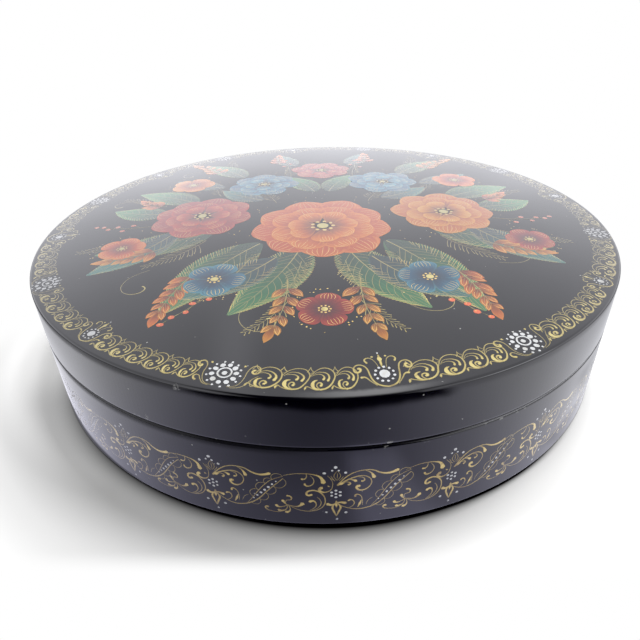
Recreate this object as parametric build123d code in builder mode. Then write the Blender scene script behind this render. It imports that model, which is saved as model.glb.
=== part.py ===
"""Round lacquered papier-mache box with a domed lift-off lid.

Five glued and turned pieces: a wound wall ring, a floor disc and an inner
collar make the base, and a wound wall ring and a domed panel make the lid.
The lid slips over the collar and rests on the base wall, flush all round.
Millimetres, +Z up, origin at the centre of the underside.
"""

import os

from build123d import *

# Driving dimensions of the closed box
outer_diameter = 150.0
base_height = 20.4
lid_side_height = 11.6
dome_rise = 3.0

# Base: wall ring, floor disc and the collar that locates the lid
base_wall_thickness = 3.6
floor_thickness = 3.0
floor_ledge = 1.8
collar_thickness = 1.8
collar_rise = 5.0

# Lid: wall ring and domed panel
lid_clearance = 0.3
panel_thickness = 3.2
panel_edge_height = 3.0
panel_spigot_depth = 1.2

# Turned edges
lid_edge_radius = 0.6
foot_edge_radius = 0.8
seam_edge_radius = 0.6
collar_edge_radius = 0.6
collar_edge_limit = 0.45  # most of the collar's thickness that each rounded edge may take
lid_mouth_chamfer = 0.8

# Radii and heights that the pieces share
outer_radius = outer_diameter / 2
collar_outer_radius = outer_radius - base_wall_thickness
collar_inner_radius = collar_outer_radius - collar_thickness
lid_inner_radius = collar_outer_radius + lid_clearance
floor_radius = collar_outer_radius + floor_ledge
collar_top = base_height + collar_rise
rim_height = base_height + lid_side_height
panel_seat = rim_height - panel_edge_height
spigot_height = panel_seat - panel_spigot_depth
crown_height = rim_height + dome_rise
ceiling_height = crown_height - panel_thickness


def dome_radius(span, rise):
    """Radius of the sphere that a shallow cap of that half-span and rise is part of."""
    return (span**2 + rise**2) / (2 * rise)


def corner(sketch, radius, height):
    """The vertex of a profile that lies nearest to one radius and height, in its own plane."""
    return sketch.vertices().sort_by_distance(Vector(radius, height))[0]


# Base wall: a wound ring, stepped inside its foot to take the floor disc
with BuildPart() as base_wall:
    with BuildSketch(Plane.XZ) as base_wall_profile:
        with BuildLine():
            Polyline(
                (floor_radius, 0),
                (outer_radius, 0),
                (outer_radius, base_height),
                (collar_outer_radius, base_height),
                (collar_outer_radius, floor_thickness),
                (floor_radius, floor_thickness),
                close=True,
            )
        make_face()
        fillet(corner(base_wall_profile, outer_radius, 0), foot_edge_radius)
        fillet(corner(base_wall_profile, outer_radius, base_height), seam_edge_radius)
    revolve(axis=Axis.Z)
base_wall.part.label = "base_wall"

# Floor: a pressed disc, let into the foot of the wall so that both stand flat
with BuildPart() as base_floor:
    with BuildSketch():
        Circle(floor_radius)
    extrude(amount=floor_thickness)
base_floor.part.label = "base_floor"

# Collar: a thinner ring, lining the wall from the floor up and standing proud of the seam
with BuildPart() as collar:
    with BuildSketch(Plane.XZ) as collar_profile:
        with BuildLine():
            Polyline(
                (collar_inner_radius, floor_thickness),
                (collar_outer_radius, floor_thickness),
                (collar_outer_radius, collar_top),
                (collar_inner_radius, collar_top),
                close=True,
            )
        make_face()
        top_corners = collar_profile.vertices().group_by(Axis.Y)[-1]
        fillet(top_corners, min(collar_edge_radius, collar_edge_limit * collar_thickness))
    revolve(axis=Axis.Z)
collar.part.label = "collar"

# Lid wall: a wound ring of the same outside, bored to slip over the collar
with BuildPart() as lid_wall:
    with BuildSketch(Plane.XZ) as lid_wall_profile:
        with BuildLine():
            Polyline(
                (lid_inner_radius, base_height),
                (outer_radius, base_height),
                (outer_radius, panel_seat),
                (lid_inner_radius, panel_seat),
                close=True,
            )
        make_face()
        fillet(corner(lid_wall_profile, outer_radius, base_height), seam_edge_radius)
        chamfer(corner(lid_wall_profile, lid_inner_radius, base_height), lid_mouth_chamfer)
    revolve(axis=Axis.Z)
lid_wall.part.label = "lid_wall"

# Lid panel: a pressed dome, thickest at its edge, with a spigot that drops into the lid wall
with BuildPart() as lid_panel:
    with BuildSketch(Plane.XZ) as lid_panel_profile:
        with BuildLine():
            underside = Polyline(
                (lid_inner_radius, spigot_height),
                (lid_inner_radius, panel_seat),
                (outer_radius, panel_seat),
                (outer_radius, rim_height),
            )
            crown = RadiusArc(
                underside @ 1,
                (0, crown_height),
                -dome_radius(outer_radius, dome_rise),
            )
            axis_edge = Line(crown @ 1, (0, ceiling_height))
            RadiusArc(
                axis_edge @ 1,
                underside @ 0,
                dome_radius(lid_inner_radius, ceiling_height - spigot_height),
            )
        make_face()
        fillet(corner(lid_panel_profile, outer_radius, rim_height), lid_edge_radius)
    revolve(axis=Axis.Z)
lid_panel.part.label = "lid_panel"

os.makedirs("parts", exist_ok=True)
for piece in (base_wall, base_floor, collar, lid_wall, lid_panel):
    export_step(piece.part, f"parts/{piece.part.label}.step")
    print(f"{piece.part.label}: {piece.part.volume / 1000:.2f} cm3")
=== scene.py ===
"""Round lacquered box with painted borders: its finishes, ornament and studio.

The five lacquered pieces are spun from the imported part's own sizes. The borders and the
floral spray are brush strokes: each motif is drawn once, flat and in millimetres, then
copied round the lid's rim, round the base's wall or over the lid's dome.
"""

import math

import bpy
import numpy as np
from mathutils import Matrix, Vector


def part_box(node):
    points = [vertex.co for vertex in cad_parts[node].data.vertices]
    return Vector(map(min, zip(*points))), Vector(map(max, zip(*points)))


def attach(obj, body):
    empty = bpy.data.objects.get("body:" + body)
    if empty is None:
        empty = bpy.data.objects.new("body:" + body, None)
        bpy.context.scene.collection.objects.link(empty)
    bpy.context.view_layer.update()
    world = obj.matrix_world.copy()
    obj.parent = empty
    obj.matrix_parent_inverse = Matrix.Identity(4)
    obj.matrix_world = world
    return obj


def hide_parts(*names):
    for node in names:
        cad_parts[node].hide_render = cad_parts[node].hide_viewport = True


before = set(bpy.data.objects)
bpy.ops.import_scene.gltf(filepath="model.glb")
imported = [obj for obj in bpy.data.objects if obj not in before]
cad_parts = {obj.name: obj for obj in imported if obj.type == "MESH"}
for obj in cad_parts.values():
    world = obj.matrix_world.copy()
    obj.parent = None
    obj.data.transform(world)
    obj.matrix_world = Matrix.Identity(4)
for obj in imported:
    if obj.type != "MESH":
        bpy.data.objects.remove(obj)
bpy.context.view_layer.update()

bl_info = {
    "name": "Painted lacquer box",
    "version": (1, 0, 0),
    "blender": (4, 5, 0),
    "location": "3D View > Sidebar > Lacquer Box",
    "description": "Dresses a round papier-mache box in lacquer, gold scrolls and a floral spray",
    "category": "Object",
}

BRUSH_MAP = "brush"
TONE = "tone"
LOAD = "load"
MM = 0.001
TURN = 2 * math.pi

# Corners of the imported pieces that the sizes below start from
wall_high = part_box("base_wall")[1]
floor_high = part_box("base_floor")[1]
collar_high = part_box("collar")[1]
lid_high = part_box("lid_wall")[1]
panel_low, panel_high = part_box("lid_panel")


def length(name, description, default):
    """A size in metres that shows with its unit in the sidebar."""
    return bpy.props.FloatProperty(
        name=name, description=description, default=default, unit="LENGTH", precision=5
    )


def colour(name, description, default):
    """A linear colour with a swatch in the sidebar."""
    return bpy.props.FloatVectorProperty(
        name=name, description=description, default=default, subtype="COLOR", min=0, max=1
    )


def count(name, description, default):
    """A whole number of copies or steps."""
    return bpy.props.IntProperty(name=name, description=description, default=default, min=1)


def angle(name, description, default):
    """An angle given in degrees and kept in radians."""
    return bpy.props.FloatProperty(
        name=name, description=description, default=math.radians(default), subtype="ANGLE"
    )


class BoxSizes(bpy.types.PropertyGroup):
    """Sizes of the lacquered pieces."""

    radius: length("Radius", "Outside radius of the closed box", wall_high.x)
    seam: length("Seam height", "Height at which the lid meets the base", wall_high.z)
    wall: length("Wall radius", "Inside radius of the base wall", collar_high.x)
    floor_radius: length("Floor radius", "Radius of the floor disc", floor_high.x)
    floor_top: length("Floor top", "Height of the floor's upper face", floor_high.z)
    collar_wall: length("Collar thickness", "Thickness of the inner collar", 0.0018)
    collar_top: length("Collar top", "Height of the collar's upper edge", collar_high.z)
    lid_bore: length("Lid bore", "Inside radius of the lid wall", 0.0717)
    panel_seat: length("Panel seat", "Height at which the domed panel sits", lid_high.z)
    spigot: length("Spigot", "Height of the underside of the panel's spigot", panel_low.z)
    crown: length("Crown", "Height of the top of the dome", panel_high.z)
    dome_rise: length("Dome rise", "How far the dome swells above the rim", 0.003)
    panel_wall: length("Panel thickness", "Thickness of the panel at its middle", 0.0032)
    lid_edge: length("Lid edge", "Rounding of the lid's upper edge", 0.0006)
    foot_edge: length("Foot edge", "Rounding of the base's foot", 0.00025)
    seam_edge: length("Seam edge", "Rounding of both edges at the seam", 0.0006)
    mouth_chamfer: length("Mouth chamfer", "Bevel inside the lid's mouth", 0.0008)
    paint_depth: length("Paint depth", "Depth of paint between lacquer and full size", 0.0001)
    spin_steps: count("Spin steps", "Steps round each turned piece", 480)


class BorderSizes(bpy.types.PropertyGroup):
    """Places of the painted borders."""

    ring_radius: length("Ring radius", "Middle of the lid's border", 0.0698)
    first_motif: angle("First motif", "Angle of the first rosette from the front", -61.5)
    scroll_pitch: angle("Scroll pitch", "Usual angle from one scroll to the next", 3.7)
    band_units: count("Band units", "Units in the base's band", 21)
    first_unit: angle("First unit", "Angle of the band's first unit from the front", -33.0)
    brush_seed: count("Brush seed", "Seed of the brush's small irregularities", 7)


class Finishes(bpy.types.PropertyGroup):
    """Colours of lacquer, gold and tempera."""

    black: colour("Black lacquer", "Polished outside", (0.0004, 0.0002, 0.0017))
    red: colour("Red lacquer", "Polished inside", (0.36, 0.012, 0.01))
    gold: colour("Gold", "Burnished gold of the lid's border", (0.38, 0.3, 0.08))
    thin_gold: colour("Thin gold", "Rubbed gold of the base's band", (0.47, 0.345, 0.085))
    white: colour("White enamel", "Dots and rosettes", (0.635, 0.65, 0.665))
    cream: colour("Cream", "Fine light strokes of the spray", (0.8, 0.55, 0.16))
    berry: colour("Berry", "Berries of the spray", (0.7, 0.12, 0.03))


# Shader maths

class Wire:
    """One value socket; Python arithmetic on it adds Math nodes."""

    def __init__(self, tree, socket):
        self.tree = tree
        self.socket = socket

    def maths(self, operation, first, second, clamp=False):
        node = self.tree.nodes.new("ShaderNodeMath")
        node.operation = operation
        node.use_clamp = clamp
        for slot, value in zip(node.inputs, (first, second)):
            feed(self.tree, slot, value)
        return Wire(self.tree, node.outputs[0])

    def __add__(self, other):
        return self.maths("ADD", self, other)

    def __radd__(self, other):
        return self.maths("ADD", other, self)

    def __sub__(self, other):
        return self.maths("SUBTRACT", self, other)

    def __rsub__(self, other):
        return self.maths("SUBTRACT", other, self)

    def __mul__(self, other):
        return self.maths("MULTIPLY", self, other)

    def __rmul__(self, other):
        return self.maths("MULTIPLY", other, self)

    def __truediv__(self, other):
        return self.maths("DIVIDE", self, other)

    def __pow__(self, other):
        return self.maths("POWER", self, other)

    def __neg__(self):
        return self.maths("SUBTRACT", 0.0, self)

    def __abs__(self):
        return self.maths("ABSOLUTE", self, 0.0)

    def largest(self, other):
        return self.maths("MAXIMUM", self, other)

    def clamped(self):
        return self.maths("ADD", self, 0.0, clamp=True)


def feed(tree, slot, value):
    """Links a wire or a node's output to a slot, or sets the slot's own value."""
    if isinstance(value, Wire):
        tree.links.new(value.socket, slot)
    elif isinstance(value, bpy.types.NodeSocket):
        tree.links.new(value, slot)
    else:
        slot.default_value = value


class Nodes:
    """The node tree of a material or of the world, written from Python."""

    def __init__(self, owner, coordinates="Object"):
        owner.use_nodes = True
        self.tree = owner.node_tree
        self.tree.nodes.clear()
        self.place = self.node("ShaderNodeTexCoord").outputs[coordinates]

    def node(self, kind, settings=None, sockets=None):
        """Any node: its settings are set first, then its sockets are set or linked."""
        made = self.tree.nodes.new(kind)
        for name, value in (settings or {}).items():
            setattr(made, name, value)
        for name, value in (sockets or {}).items():
            feed(self.tree, made.inputs[name], value)
        return made

    def wire(self, made, output=0):
        return Wire(self.tree, made.outputs[output])

    def axes(self, vector=None):
        """The x, y and z of a vector, or of the place that is shaded."""
        made = self.node("ShaderNodeSeparateXYZ", sockets={"Vector": vector or self.place})
        return [self.wire(made, axis) for axis in range(3)]

    def distance(self, place, point=(0.0, 0.0, 0.0)):
        made = self.node("ShaderNodeVectorMath", {"operation": "DISTANCE"}, {0: place, 1: point})
        return self.wire(made, "Value")

    def attribute(self, name):
        return self.wire(self.node("ShaderNodeAttribute", {"attribute_name": name}), "Fac")

    def noise(self, scale, detail=2.0, roughness=0.5, place=None):
        made = self.node(
            "ShaderNodeTexNoise",
            sockets={
                "Vector": place or self.place,
                "Scale": scale,
                "Detail": detail,
                "Roughness": roughness,
            },
        )
        return self.wire(made)

    def step(self, value, low, high):
        """0 below low, 1 above high, smooth between."""
        made = self.node(
            "ShaderNodeMapRange",
            {"interpolation_type": "SMOOTHSTEP"},
            {"Value": value, "From Min": low, "From Max": high},
        )
        return self.wire(made)

    def until(self, value, low, high):
        """1 below low, 0 above high, smooth between."""
        return 1 - self.step(value, low, high)

    def between(self, share, first, second):
        """A value between two values."""
        return first + (second - first) * share

    def mix(self, share, first, second):
        """A colour between two colours."""
        made = self.node("ShaderNodeMix", {"data_type": "RGBA"}, {0: share, 6: first, 7: second})
        return made.outputs[2]

    def tinted(self, level, tint=(1, 1, 1)):
        """A colour as bright as a level."""
        made = self.node("ShaderNodeVectorMath", {"operation": "SCALE"}, {0: tint, "Scale": level})
        return made.outputs[0]

    def stretched(self, scale):
        """The place that is shaded, scaled by a different amount along each axis."""
        made = self.node("ShaderNodeMapping", sockets={"Vector": self.place, "Scale": scale})
        return made.outputs[0]

    def bump(self, height, distance, strength):
        made = self.node(
            "ShaderNodeBump", sockets={"Height": height, "Distance": distance, "Strength": strength}
        )
        return made.outputs[0]

    def glow(self, tint):
        """A shader that only gives light."""
        return self.shader(
            {
                "Base Color": opaque((0, 0, 0)),
                "Specular IOR Level": 0.0,
                "Roughness": 1.0,
                "Emission Color": tint,
                "Emission Strength": 1.0,
            }
        )

    def blend(self, share, first, second):
        """A shader between two shaders."""
        return self.node("ShaderNodeMixShader", sockets={0: share, 1: first, 2: second}).outputs[0]

    def shader(self, sockets):
        return self.node("ShaderNodeBsdfPrincipled", sockets=sockets).outputs[0]

    def finish(self, shader):
        self.node("ShaderNodeOutputMaterial", sockets={"Surface": shader})


def opaque(tint):
    """A colour with the alpha that colour sockets ask for."""
    return (*tint, 1.0)


def new_finish(name):
    """The nodes of a new material."""
    return Nodes(bpy.data.materials.new(name))


# Lacquer, in metres; a pair is where a fade starts and where it ends.
# Noise patterns are given by scale, detail and roughness
FLAT = (1.0, 1.0, 0.0)
SEAM_AT = wall_high.z
LID_TOP = (0.0312, 0.032)
LACQUER_IOR = 1.52
WAVE_DEPTH, GRAIN_DEPTH, MATT_DEPTH = 0.00002, 0.00003, 0.00004
CLOUDS, CLOUD_SPAN, CLOUD_ROUGH = (38.0, 4.0), (0.3, 0.75), 0.03
WAVES, WAVE_STRENGTH = (150.0, 2.0), 0.3
RUBBING, RUBBING_WAY, RUBBING_DEPTH = (2600.0, 3.0, 0.6), (1.0, 0.12, 0.6), 0.02
MARK_SPAN, MARK_ROUGH, POLISH_ROUGH = (0.55, 0.8), 0.03, 0.045
DUST_TINT, DUST_SHARE, DUST_ROUGH = (0.42, 0.42, 0.4), 0.8, 0.4
DUST_PATCHES, DUST_SPAN, LID_CLEANER = (95.0, 1.0), (0.4, 0.48), 0.1
SPECK_SCALE, SPECK_SPAN = 330.0, (0.03, 0.065)
NICKS, NICK_SPAN, NICK_SHARE = (430.0, 2.0), (0.63, 0.69), 0.8
NICKED_RIM, NICKED_SEAM = (0.0768, 0.0772), (0.0004, 0.001)
CHIPS = ((-0.02555, -0.0704, 0.0311), (-0.03342, -0.06703, 0.0214))
CHIP_EDGE, CHIP_RAGGED, CHIP_NOISE = (0.001, 0.0014), 0.0012, (900.0, 2.0)
FLAKES, FLAKE_SPAN, FLAKE_SHARE = (2400.0, 1.0), (0.42, 0.56), 0.5
# A painted highlight: a short light grey stretch on the lid's rim, a little right of the front
RIM_GLINT_TINT = (0.12, 0.12, 0.122)
RIM_GLINT_X, RIM_GLINT_ALONG = 0.0075, (0.001, 0.015)
RIM_GLINT_RING, RIM_GLINT_RAGGED, RIM_GLINT_NOISE = (0.0732, 0.0741), 0.0006, (700.0, 2.0)
RIM_GLINT_TOP, RIM_GLINT_FRONT = (0.0317, 0.032), (-0.06, -0.05)
# Painted shade just below the seam at the base's left front, where the lid overhangs
UNDER_LID_SHADE, UNDER_LID_ROUGH, UNDER_LID_GLOSS = 0.65, 0.7, 0.1
UNDER_LID_TOP, UNDER_LID_LOW = (0.0, 0.0001), (0.0005, 0.002)
UNDER_LID_RIGHT, UNDER_LID_LEFT = (-0.012, 0.0), (0.052, 0.062)


def painted_rim_glint(nodes):
    """A painted highlight: a short stretch of the lid's rim painted grey, a little right of the front.
    """
    x, y, z = nodes.axes()
    away = nodes.distance(nodes.stretched(FLAT))
    ring = nodes.step(away + RIM_GLINT_RAGGED * nodes.noise(*RIM_GLINT_NOISE), *RIM_GLINT_RING)
    along = nodes.until(abs(x - RIM_GLINT_X), *RIM_GLINT_ALONG)
    return ring * along * nodes.step(z, *RIM_GLINT_TOP) * nodes.until(y, *RIM_GLINT_FRONT)


def dusty(nodes, height):
    """Specks of dust, nicks beside the seam, and two chips."""
    sockets = {"Vector": nodes.place, "Scale": SPECK_SCALE}
    cells = nodes.wire(nodes.node("ShaderNodeTexVoronoi", sockets=sockets))
    patches = nodes.noise(*DUST_PATCHES) - LID_CLEANER * nodes.step(height, *LID_TOP)
    dust = nodes.until(cells, *SPECK_SPAN) * nodes.step(patches, *DUST_SPAN)
    edge = nodes.step(nodes.distance(nodes.place), *NICKED_RIM)
    edge = edge * nodes.until(abs(height - SEAM_AT), *NICKED_SEAM)
    dust = dust.largest(NICK_SHARE * edge * nodes.step(nodes.noise(*NICKS), *NICK_SPAN))
    for spot in CHIPS:
        away = nodes.distance(nodes.place, spot) + CHIP_RAGGED * nodes.noise(*CHIP_NOISE)
        flakes = nodes.step(nodes.noise(*FLAKES), *FLAKE_SPAN)
        dust = dust.largest(FLAKE_SHARE * nodes.until(away, *CHIP_EDGE) * flakes)
    return dust


def shaded_under_lid(nodes, x, height):
    """Painted shade: the left front of the base just below the seam, under the lid's overhang, made
    dull and dark.
    """
    below = SEAM_AT - height
    under = nodes.until(below, *UNDER_LID_LOW) * nodes.step(below, *UNDER_LID_TOP)
    return UNDER_LID_SHADE * under * nodes.until(x, *UNDER_LID_RIGHT) * nodes.until(-x, *UNDER_LID_LEFT)


def lacquer(name, tint, worn_tint):
    """Hand-polished lacquer: slight waves, fine rubbing marks, a little dust, a painted shade below
    the seam and a painted highlight on the rim.
    """
    nodes = new_finish(name)
    x, _, height = nodes.axes()
    clouds = nodes.noise(*CLOUDS)
    waves = nodes.noise(*WAVES)
    rubbing = nodes.noise(*RUBBING, place=nodes.stretched(RUBBING_WAY))
    marks = nodes.step(rubbing, *MARK_SPAN)
    dust = dusty(nodes, height)
    tone = nodes.mix(nodes.step(clouds, *CLOUD_SPAN), opaque(tint), opaque(worn_tint))
    # Painted highlight on the lid's rim
    tone = nodes.mix(painted_rim_glint(nodes), tone, opaque(RIM_GLINT_TINT))
    rough = POLISH_ROUGH + CLOUD_ROUGH * clouds + MARK_ROUGH * marks + DUST_ROUGH * dust
    polished = nodes.shader(
        {
            "Base Color": nodes.mix(dust * DUST_SHARE, tone, opaque(DUST_TINT)),
            "Roughness": rough,
            "IOR": LACQUER_IOR,
            "Normal": nodes.bump(waves + RUBBING_DEPTH * rubbing, WAVE_DEPTH, WAVE_STRENGTH),
        }
    )
    under_lid_shader = nodes.shader(
        {
            "Base Color": opaque(tint),
            "Roughness": UNDER_LID_ROUGH,
            "Specular IOR Level": UNDER_LID_GLOSS,
        }
    )
    # Painted shade: below the seam at the left front the lacquer turns dull and dark
    nodes.finish(nodes.blend(shaded_under_lid(nodes, x, height), polished, under_lid_shader))


# The edges at the seam: a painted shade in the groove, and painted light on its glossy part
MATT_GRAIN, MATT_SPAN, MATT_LIGHTER = (1500.0, 3.0, 0.6), (0.5, 0.75), 4
MATT_ROUGH, MATT_ROUGHER, MATT_GLOSS, MATT_STRENGTH = 0.6, 0.2, 0.12, 0.3
SEAM_SHADE_FADES, SEAM_SHADE_RAGGED, SEAM_SHADE_NOISE = (0.018, 0.032), 0.012, (160.0, 2.0)
SEAM_SHADE_LEFT, SEAM_SHADE_LEFT_REACH = 0.02, 0.055
# Painted light: the glossy part of the seam's edge is painted grey, lighter on the right
SEAM_LIGHT, SEAM_LIGHT_RIGHT, SEAM_LIGHT_TURNS = (0.11, 0.11, 0.12), (0.45, 0.45, 0.47), (0.036, 0.056)
SEAM_GLOSS_ROUGH, SEAM_GLOSS_ROUGHER = 0.05, 0.05


def seam_shade_finish(name, tint):
    """Painted shade in the seam's groove: a dull, dark edge that gives way to gloss on the right and
    at the far left.
    """
    nodes = new_finish(name)
    x = nodes.axes()[0]
    grain = nodes.noise(*MATT_GRAIN)
    lighter = tuple(MATT_LIGHTER * part for part in tint)
    dull = nodes.shader(
        {
            "Base Color": nodes.mix(nodes.step(grain, *MATT_SPAN), opaque(tint), opaque(lighter)),
            "Roughness": MATT_ROUGH + MATT_ROUGHER * grain,
            "Specular IOR Level": MATT_GLOSS,
            "Normal": nodes.bump(grain, MATT_DEPTH, MATT_STRENGTH),
        }
    )
    # Painted light on the seam's glossy edge, lighter towards the right
    seam_light = nodes.mix(nodes.step(x, *SEAM_LIGHT_TURNS), opaque(SEAM_LIGHT), opaque(SEAM_LIGHT_RIGHT))
    rough = SEAM_GLOSS_ROUGH + SEAM_GLOSS_ROUGHER * grain
    clean = nodes.shader({"Base Color": seam_light, "Roughness": rough, "IOR": LACQUER_IOR})
    ragged = SEAM_SHADE_RAGGED * (nodes.noise(*SEAM_SHADE_NOISE) - 0.5)
    share = nodes.step(x + ragged, *SEAM_SHADE_FADES)
    share = share.largest((-x - SEAM_SHADE_LEFT) / SEAM_SHADE_LEFT_REACH).clamped()
    nodes.finish(nodes.blend(share, dull, clean))


# Paint under clear lacquer
# Paint turns darker away from the front of the box, most at the sides and back
AWAY_CENTRE, AWAY_SPAN = (0.012, -0.07, 0.0), (0.015, 0.09)
GOLD_AWAY, WHITE_AWAY = 0.52, 0.58
AWAY_TINT = (0.002, 0.002, 0.003)
BARE_SHARE = 0.92
BARE_LEFT, BARE_BACK, BARE_TOP = (0.05, 0.062), (-0.034, -0.022), (0.02, 0.022)
GOLD_GRAIN, GOLD_PATCHES = (4200.0, 3.0, 0.65), (520.0, 2.0)
GOLD_ROUGH, GOLD_ROUGHER, GOLD_STRENGTH = 0.36, 0.18, 0.4
RICH_GAIN, RICH_SPAN, RICH_GRAIN = (1.5, 1.58, 2.0), (0.09, 0.24), 0.12
FAINT_GAIN, FAINT_LEAST, FAINT_SPAN, FAINT_SHARE = 0.42, 0.03, (0.03, 0.14), 0.6
WORN_FROM, WORN_AT, WORN_BROWN, WORN_METAL = 0.62, 0.78, 0.75, 0.45
BROWN_GAIN = (0.5, 0.42, 0.4)
CREAM_GAIN, CREAM_PATCHES, CREAM_SPAN = (0.86, 0.84, 0.78), (700.0, 1.0), (0.45, 0.75)
ENAMEL_GRAIN, ENAMEL_ROUGH, ENAMEL_ROUGHER = (2600.0, 3.0, 0.6), 0.3, 0.2
ENAMEL_STRENGTH = 0.35
PAINT_GLOSS, TEMPERA_GLOSS = 0.15, 0.1
STRANDS, BRISTLES = (1.0, 3.0, 0.6), (17, 1.6, 40)
TEMPERA_GRAIN, TEMPERA_ROUGH, TEMPERA_ROUGHER = (1900.0, 3.0, 0.6), 0.4, 0.2
TEMPERA_STRENGTH = 0.15
# How far strands shift a mark's dark root, light tip and light edges, and where these fade
ROOT, ROOT_SPAN = 0.5, (0.1, 0.78)
TIP_SHIFT, TIP_SPAN, TIP_LIGHT = 0.9, (0.35, 1.05), 0.375
EDGE_SHIFT, EDGE_SPAN, EDGE_LIGHT = 1.1, (0.6, 1.1), 0.275
TONE_LIGHT, TONE_MIDDLE = 0.75, 0.4
CLEAR_COAT = {"Coat Weight": 1.0, "Coat Roughness": 0.06}


def gained(tint, gains):
    """A colour with each part scaled, up to full."""
    return tuple(min(1.0, part * gain) for part, gain in zip(tint, gains))


def darkened_away_from_front(nodes, share):
    """How far paint is darkened towards near black: least at the front, most at the sides and back."""
    return share * nodes.step(nodes.distance(nodes.stretched(FLAT), AWAY_CENTRE), *AWAY_SPAN)


def kept(nodes):
    """How much of the base's paint is left: nearly none on the far left."""
    x, y, z = nodes.axes()
    left = nodes.step(-x, *BARE_LEFT) * nodes.until(y, *BARE_BACK)
    return 1 - BARE_SHARE * left * nodes.until(z, *BARE_TOP)


def gold_paint(name, tint, worn_share, metal):
    """Burnished gold laid on with a hair brush: uneven, worn here and there, and darker towards the
    sides and back.
    """
    nodes = new_finish(name)
    grain = nodes.noise(*GOLD_GRAIN)
    patches = nodes.noise(*GOLD_PATCHES)
    worn = nodes.step(patches, WORN_FROM - worn_share, WORN_AT - worn_share / 2)
    load = nodes.attribute(LOAD)
    faint = FAINT_SHARE * nodes.until(load, *FAINT_SPAN)
    faint_tint = tuple(FAINT_GAIN * part + FAINT_LEAST for part in tint)
    rich = nodes.step(load + RICH_GRAIN * (grain - 0.5), *RICH_SPAN)
    full = nodes.mix(rich, opaque(tint), opaque(gained(tint, RICH_GAIN)))
    fresh = nodes.mix(faint, full, opaque(faint_tint))
    dull = nodes.mix(worn * WORN_BROWN, fresh, opaque(gained(tint, BROWN_GAIN)))
    # Gold turns darker and less metallic away from the box's front
    thin = darkened_away_from_front(nodes, GOLD_AWAY)
    paint = {
        "Base Color": nodes.mix(thin, dull, opaque(AWAY_TINT)),
        "Metallic": metal * (1.0 - WORN_METAL * worn) * (1 - thin),
        "Specular IOR Level": PAINT_GLOSS,
        "Alpha": kept(nodes),
        "Roughness": GOLD_ROUGH + GOLD_ROUGHER * grain,
        "Normal": nodes.bump(grain, GRAIN_DEPTH, GOLD_STRENGTH),
    }
    nodes.finish(nodes.shader(paint | CLEAR_COAT))


def white_enamel(name, tint):
    """Thick white tempera dots under clear lacquer."""
    nodes = new_finish(name)
    grain = nodes.noise(*ENAMEL_GRAIN)
    patches = nodes.step(nodes.noise(*CREAM_PATCHES), *CREAM_SPAN)
    fresh = nodes.mix(patches, opaque(tint), opaque(gained(tint, CREAM_GAIN)))
    paint = {
        "Base Color": nodes.mix(darkened_away_from_front(nodes, WHITE_AWAY), fresh, opaque(AWAY_TINT)),
        "Specular IOR Level": PAINT_GLOSS,
        "Alpha": kept(nodes),
        "Roughness": ENAMEL_ROUGH + ENAMEL_ROUGHER * grain,
        "Normal": nodes.bump(grain, GRAIN_DEPTH, ENAMEL_STRENGTH),
    }
    nodes.finish(nodes.shader(paint | CLEAR_COAT))


def tempera(name, deep, body, light):
    """Egg tempera in brushed layers: dark at a mark's root, light strands at its tip and edges."""
    nodes = new_finish(name)
    spread = nodes.node("ShaderNodeUVMap", {"uv_map": BRUSH_MAP}).outputs[0]
    across, along, _ = nodes.axes(spread)
    tone = nodes.attribute(TONE)
    wide, long, apart = BRISTLES
    bristles = {0: across * wide, 1: along * long, 2: tone * apart}
    swept = nodes.node("ShaderNodeCombineXYZ", sockets=bristles).outputs[0]
    strands = nodes.noise(*STRANDS, place=swept)
    grain = nodes.noise(*TEMPERA_GRAIN)
    shift = strands - 0.5
    root = nodes.step(along + ROOT * shift, *ROOT_SPAN)
    tip = nodes.step(along + TIP_SHIFT * shift, *TIP_SPAN)
    edge = nodes.step(2 * abs(across - 0.5) + EDGE_SHIFT * shift, *EDGE_SPAN)
    lift = TIP_LIGHT * tip + EDGE_LIGHT * edge + TONE_LIGHT * (tone - TONE_MIDDLE)
    tint = nodes.mix(root, opaque(deep), opaque(body))
    paint = {
        "Base Color": nodes.mix(lift.clamped(), tint, opaque(light)),
        "Roughness": TEMPERA_ROUGH + TEMPERA_ROUGHER * grain,
        "Specular IOR Level": TEMPERA_GLOSS,
        "Normal": nodes.bump(grain + strands, GRAIN_DEPTH, TEMPERA_STRENGTH),
    }
    nodes.finish(nodes.shader(paint | CLEAR_COAT))


# Modelling by hand

# Share of the seam's rounding that the painted seam shade covers, more at the base's left
MATT_SHARE, WIDE_SHARE = 0.45, 1.05
WIDE_AT, WIDE_FROM = -0.01, 0.002
MATT_SLOT = 2
MERGE = 0.002 * MM
EDGE_GAP = 0.2 * MM
SHARP_TURN, SHARP_FILM = math.radians(40), math.radians(30)


def start_clean():
    """Object mode with nothing selected."""
    if bpy.context.object and bpy.context.object.mode != "OBJECT":
        bpy.ops.object.mode_set(mode="OBJECT")
    bpy.ops.object.select_all(action="DESELECT")


def arc(centre, radius, start, end, steps):
    """Points (r, z) of an arc, its ends included, with angles from +r towards +z."""
    return [
        (centre[0] + radius * math.cos(turn), centre[1] + radius * math.sin(turn))
        for turn in np.linspace(start, end, steps + 1)
    ]


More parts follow.
